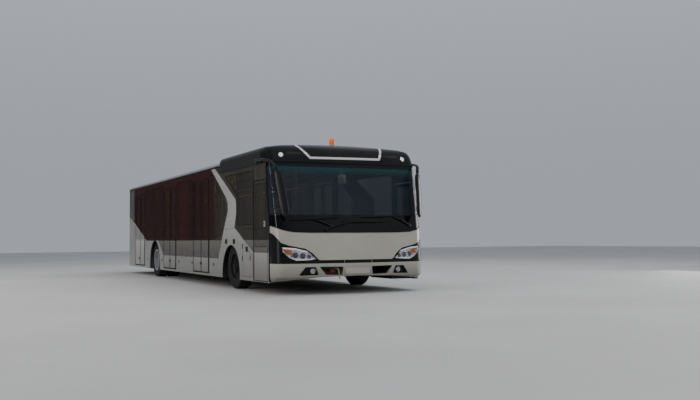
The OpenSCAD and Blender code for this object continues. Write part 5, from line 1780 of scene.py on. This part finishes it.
# %% [markdown]
# Four passenger seats stand side by side at the rear wall. Each has a cushion, a backrest, a thin shell and a
# plain foot, and one loop places them all.

# %% Passenger seats
SEAT_S, SEAT_Z, SEAT_PITCH, SEAT_X = 13.120, 0.270, 0.500, 0.010
cushions, backs, shells = Shape(), Shape(), Shape()
for i in range(-2, 2):
    x = i * SEAT_PITCH + SEAT_X
    y = SEAT_S - HALF_L
    block(cushions, (x + 0.018, y + 0.012, SEAT_Z + 0.418), (x + 0.462, y + 0.388, SEAT_Z + 0.468), 0.018)
    block(backs, (x + 0.018, y + 0.392, SEAT_Z + 0.490), (x + 0.462, y + 0.438, SEAT_Z + 0.930), 0.018)
    block(shells, (x + 0.012, y + 0.004, SEAT_Z + 0.398), (x + 0.468, y + 0.452, SEAT_Z + 0.420), 0.008)
    block(shells, (x + 0.012, y + 0.436, SEAT_Z + 0.410), (x + 0.468, y + 0.452, SEAT_Z + 0.940), 0.006)
    block(shells, (x + 0.140, y + 0.100, SEAT_Z), (x + 0.340, y + 0.350, SEAT_Z + 0.400), 0.012)


def seat_seams(points):
    """The welt round each pad and two stitched lines along it."""
    local = np.mod(points[:, 0] - SEAT_X, SEAT_PITCH) - 0.240
    return (np.abs(np.abs(local) - 0.120) < 0.008) | (np.abs(local) > 0.214)


seat_pads = stuff(cushions, "seat_cushions", seat_cloth, seat_seams, reach=0.012)
stuff(backs, "seat_backs", seat_cloth, seat_seams, reach=0.012)
shells.piece("seat_shells", dash_plastic, slot="seat_fabric")
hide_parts("passenger_seats")

print("four passenger seats")


# %% [markdown]
# The driver's seat is wider and stands on bellows. Its backrest is made upright, and then its points are
# leaned back about its lower front edge.

# %% Driver's seat
DRIVER = np.array([0.900, 1.150 - HALF_L, 0.850])
TILT = math.radians(8)


def tilted(points):
    """Leans points of the driver's backrest back by TILT about its lower front edge."""
    base = DRIVER + [0, 0.400, 0.380]
    turn = np.array([[1, 0, 0], [0, math.cos(TILT), math.sin(TILT)], [0, -math.sin(TILT), math.cos(TILT)]])
    return (points - base) @ turn.T + base


def driver_seams(points):
    """The welt at both edges of the driver's pads, and two stitched lines along them."""
    local = points - DRIVER
    return (np.abs(np.abs(local[:, 0]) - 0.150) < 0.009) | (np.abs(local[:, 0]) > 0.222)


pad, back_pad, base = Shape(), Shape(), Shape()
x, y, z = DRIVER
block(pad, (x - 0.235, y - 0.055, z + 0.318), (x + 0.235, y + 0.405, z + 0.400), 0.030)
block(back_pad, (x - 0.225, y + 0.410, z + 0.400), (x + 0.225, y + 0.490, z + 1.010), 0.030)
back_pad.points = [tilted(np.asarray(p)) for p in back_pad.points]
block(base, (x - 0.230, y - 0.050, z + 0.296), (x + 0.230, y + 0.430, z + 0.318), 0.008)
# The bellows under the seat: a rounded square whose half width swells and shrinks six times on the way up
ribs = np.linspace(0.0, 1.0, 41)
ring = ellipse(1.0, 1.0, 32, 5.0)
half = 0.136 + 0.010 * np.cos(ribs * 12 * np.pi)
bellows = np.empty((len(ribs), len(ring), 3))
bellows[..., 0] = x + ring[None, :, 0] * half[:, None]
bellows[..., 1] = y + 0.200 + ring[None, :, 1] * half[:, None]
bellows[..., 2] = z + 0.004 + 0.292 * ribs[:, None]
base.grid(bellows, wrap_columns=True, caps=True)
driver_pad = stuff(pad, "driver_cushion", driver_cloth, driver_seams, reach=0.022)
stuff(back_pad, "driver_backrest", driver_cloth, driver_seams, reach=0.022)
base.piece("driver_seat_base", dash_plastic, slot="seat_fabric")
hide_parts("driver_seat")
print("driver's seat")

# %% [markdown]
# In the cab, a round-edged white unit hangs on a rod beside the middle of the windscreen, as in the
# photograph. The dials in front of the steering wheel are rings with plain tick marks.

# %% Cab fittings
DIAL = [[0.070, -0.050], [0.070, 0.010], [0.062, 0.012], [0.060, 0.004], [0.001, 0.003]]
cab_white, dials, ticks = Shape(), Shape(), Shape()
block(cab_white, (0.150, 1.150 - HALF_L, 2.160), (0.315, 1.200 - HALF_L, 2.350), 0.014)
tube(cab_white, dense([[0.232, 1.175 - HALF_L, 2.345], [0.232, 1.175 - HALF_L, 2.862]], 0.05), 0.010, 12)
for x in (0.800, 1.000):
    centre = np.array([x, 0.690 - HALF_L, 1.270])
    axis = unit(np.array([0.0, 1.0, 0.55]))
    dials.grid(turned(DIAL, centre, axis, 40), wrap_columns=True, caps=True)
    side_x = np.array([1.0, 0.0, 0.0])
    side_z = np.cross(side_x, axis)
    for angle in np.linspace(-2.2, 2.2, 11):
        out = side_x * math.sin(angle) - side_z * math.cos(angle)
        tick = np.stack([centre + out * 0.046 + axis * 0.005, centre + out * 0.056 + axis * 0.005])
        tube(ticks, tick, 0.0014, 6)
cab_white.piece("hanging_unit", white_plastic, slot="mask_paint")
dials.piece("dials", matt_black, slot="matt_black")
ticks.piece("dial_ticks", white_plastic, slot="mask_paint")
smooth_copy("dashboard", dash_plastic)
print("cab fitted")

# %% [markdown]
# The bus stands on a plain pale floor: one large square with faint patches. It is declared as stage, so it
# isn't taken for a piece of the bus.

# %% Floor
def make_floor(size=60):
    """Plain floor reaching size metres each way, with faint patches in its paleness."""
    data = bpy.data.meshes.new("floor_stage")
    corners = [(-size, -size, 0), (size, -size, 0), (size, size, 0), (-size, size, 0)]
    data.from_pydata(corners, [], [(0, 1, 2, 3)])
    floor = bpy.data.objects.new("floor_stage", data)
    bpy.context.collection.objects.link(floor)
    pale = Finish("floor_pale", (0.42, 0.41, 0.40), 0.85)
    patches = pale.remap(pale.noise(0.3, 5.0), 0.3, 0.7)
    pale.feed(Base_Color=pale.mix(patches, (0.40, 0.39, 0.38), (0.46, 0.455, 0.45)))
    data.materials.append(pale.material)


make_floor()
print("floor laid")


# %% [markdown]
# A soft overcast studio lights the bus. The sky is pale overhead and to the bus's left, and darker low down
# to its right, so the dark film there keeps its colour instead of mirroring a bright wall. Panels overhead,
# in front and at the right light the paint without showing in its gloss. Two more show in gloss alone and
# draw the bright lines down the corners. Two weak ones under the ceiling lift the dark inside.

# %% Light
def soft_panel(name, place, aim, width, height, watts, color, in_gloss):
    """Area light at place whose -Z axis points at aim. The camera doesn't see it. With in_gloss it shows in
    glossy reflections alone, and otherwise it only lights what is matt."""
    data = bpy.data.lights.new(name, "AREA")
    data.shape, data.size, data.size_y, data.energy, data.color = "RECTANGLE", width, height, watts, color
    light = bpy.data.objects.new(name, data)
    bpy.context.collection.objects.link(light)
    away = unit(np.array(place, float) - np.array(aim, float))
    side = unit(np.cross([0.0, 0.0, 1.0], away) + [1e-6, 0, 0])
    turn = np.eye(4)
    turn[:3, 0], turn[:3, 1], turn[:3, 2], turn[:3, 3] = side, np.cross(away, side), away, place
    light.matrix_world = Matrix(turn.tolist())
    light.visible_camera = False
    light.visible_glossy = in_gloss
    light.visible_diffuse = not in_gloss


def make_sky():
    """Colour by direction: a level mix from the dark side (-X) to the bright side, brightening with height."""
    world = bpy.data.worlds.new("studio")
    bpy.context.scene.world = world
    world.use_nodes = True
    tree = world.node_tree
    sky = tree.nodes["Background"]

    def node(kind, **settings):
        new = tree.nodes.new(kind)
        for name, value in settings.items():
            setattr(new, name, value)
        return new

    def ramp(value, low, high, to_low, to_high):
        new = node("ShaderNodeMapRange", interpolation_type="SMOOTHSTEP")
        tree.links.new(value, new.inputs["Value"])
        for name, number in zip(("From Min", "From Max", "To Min", "To Max"), (low, high, to_low, to_high)):
            new.inputs[name].default_value = number
        return new.outputs[0]

    def times(a, b, kind="MULTIPLY"):
        new = node("ShaderNodeMath", operation=kind)
        tree.links.new(a, new.inputs[0])
        tree.links.new(b, new.inputs[1])
        return new.outputs[0]

    split = node("ShaderNodeSeparateXYZ")
    tree.links.new(node("ShaderNodeTexCoord").outputs["Generated"], split.inputs[0])
    across = ramp(split.outputs["X"], -0.14, 0.05, 0.07, 0.60)
    high = ramp(split.outputs["Z"], 0.05, 0.75, 0.0, 0.55)
    tree.links.new(times(across, high, "ADD"), sky.inputs["Strength"])
    sky.inputs["Color"].default_value = (0.62, 0.67, 0.74, 1)


# Each panel: name, place, aim, width, height, watts, colour, and whether it shows in gloss alone
PANELS = [("overhead", (4, 0, 16), (0, 0, 1), 22, 26, 2300, (1.0, 0.98, 0.95), False),
    ("side", (-16, -3, 6), (-1.6, 0, 1.2), 22, 8, 1900, (1.0, 0.98, 0.95), False),
    ("front", (3, -24, 7), (0, -6, 1.0), 12, 6, 900, (1.0, 0.98, 0.94), False),
    ("strip_left", (13, -5.5, 2.9), (1.4, -6.2, 1.7), 7.0, 5.6, 700, (1.0, 1.0, 1.0), True),
    ("strip_right", (-13, -10.5, 4.8), (-1.4, -6.2, 1.7), 1.4, 9.4, 360, (1.0, 0.99, 0.95), True),
    ("cab_lamp", (0, -6.12, 2.79), (0, -5.3, 1.1), 2.4, 0.4, 13, (1.0, 0.98, 0.92), False),
    ("saloon_lamp", (0, 1.8, 2.74), (0, 1.8, 0.3), 1.2, 9.0, 50, (1.0, 0.98, 0.94), False)]

make_sky()
for panel in PANELS:
    soft_panel(*panel)
print("sky and", len(PANELS), "soft panels")
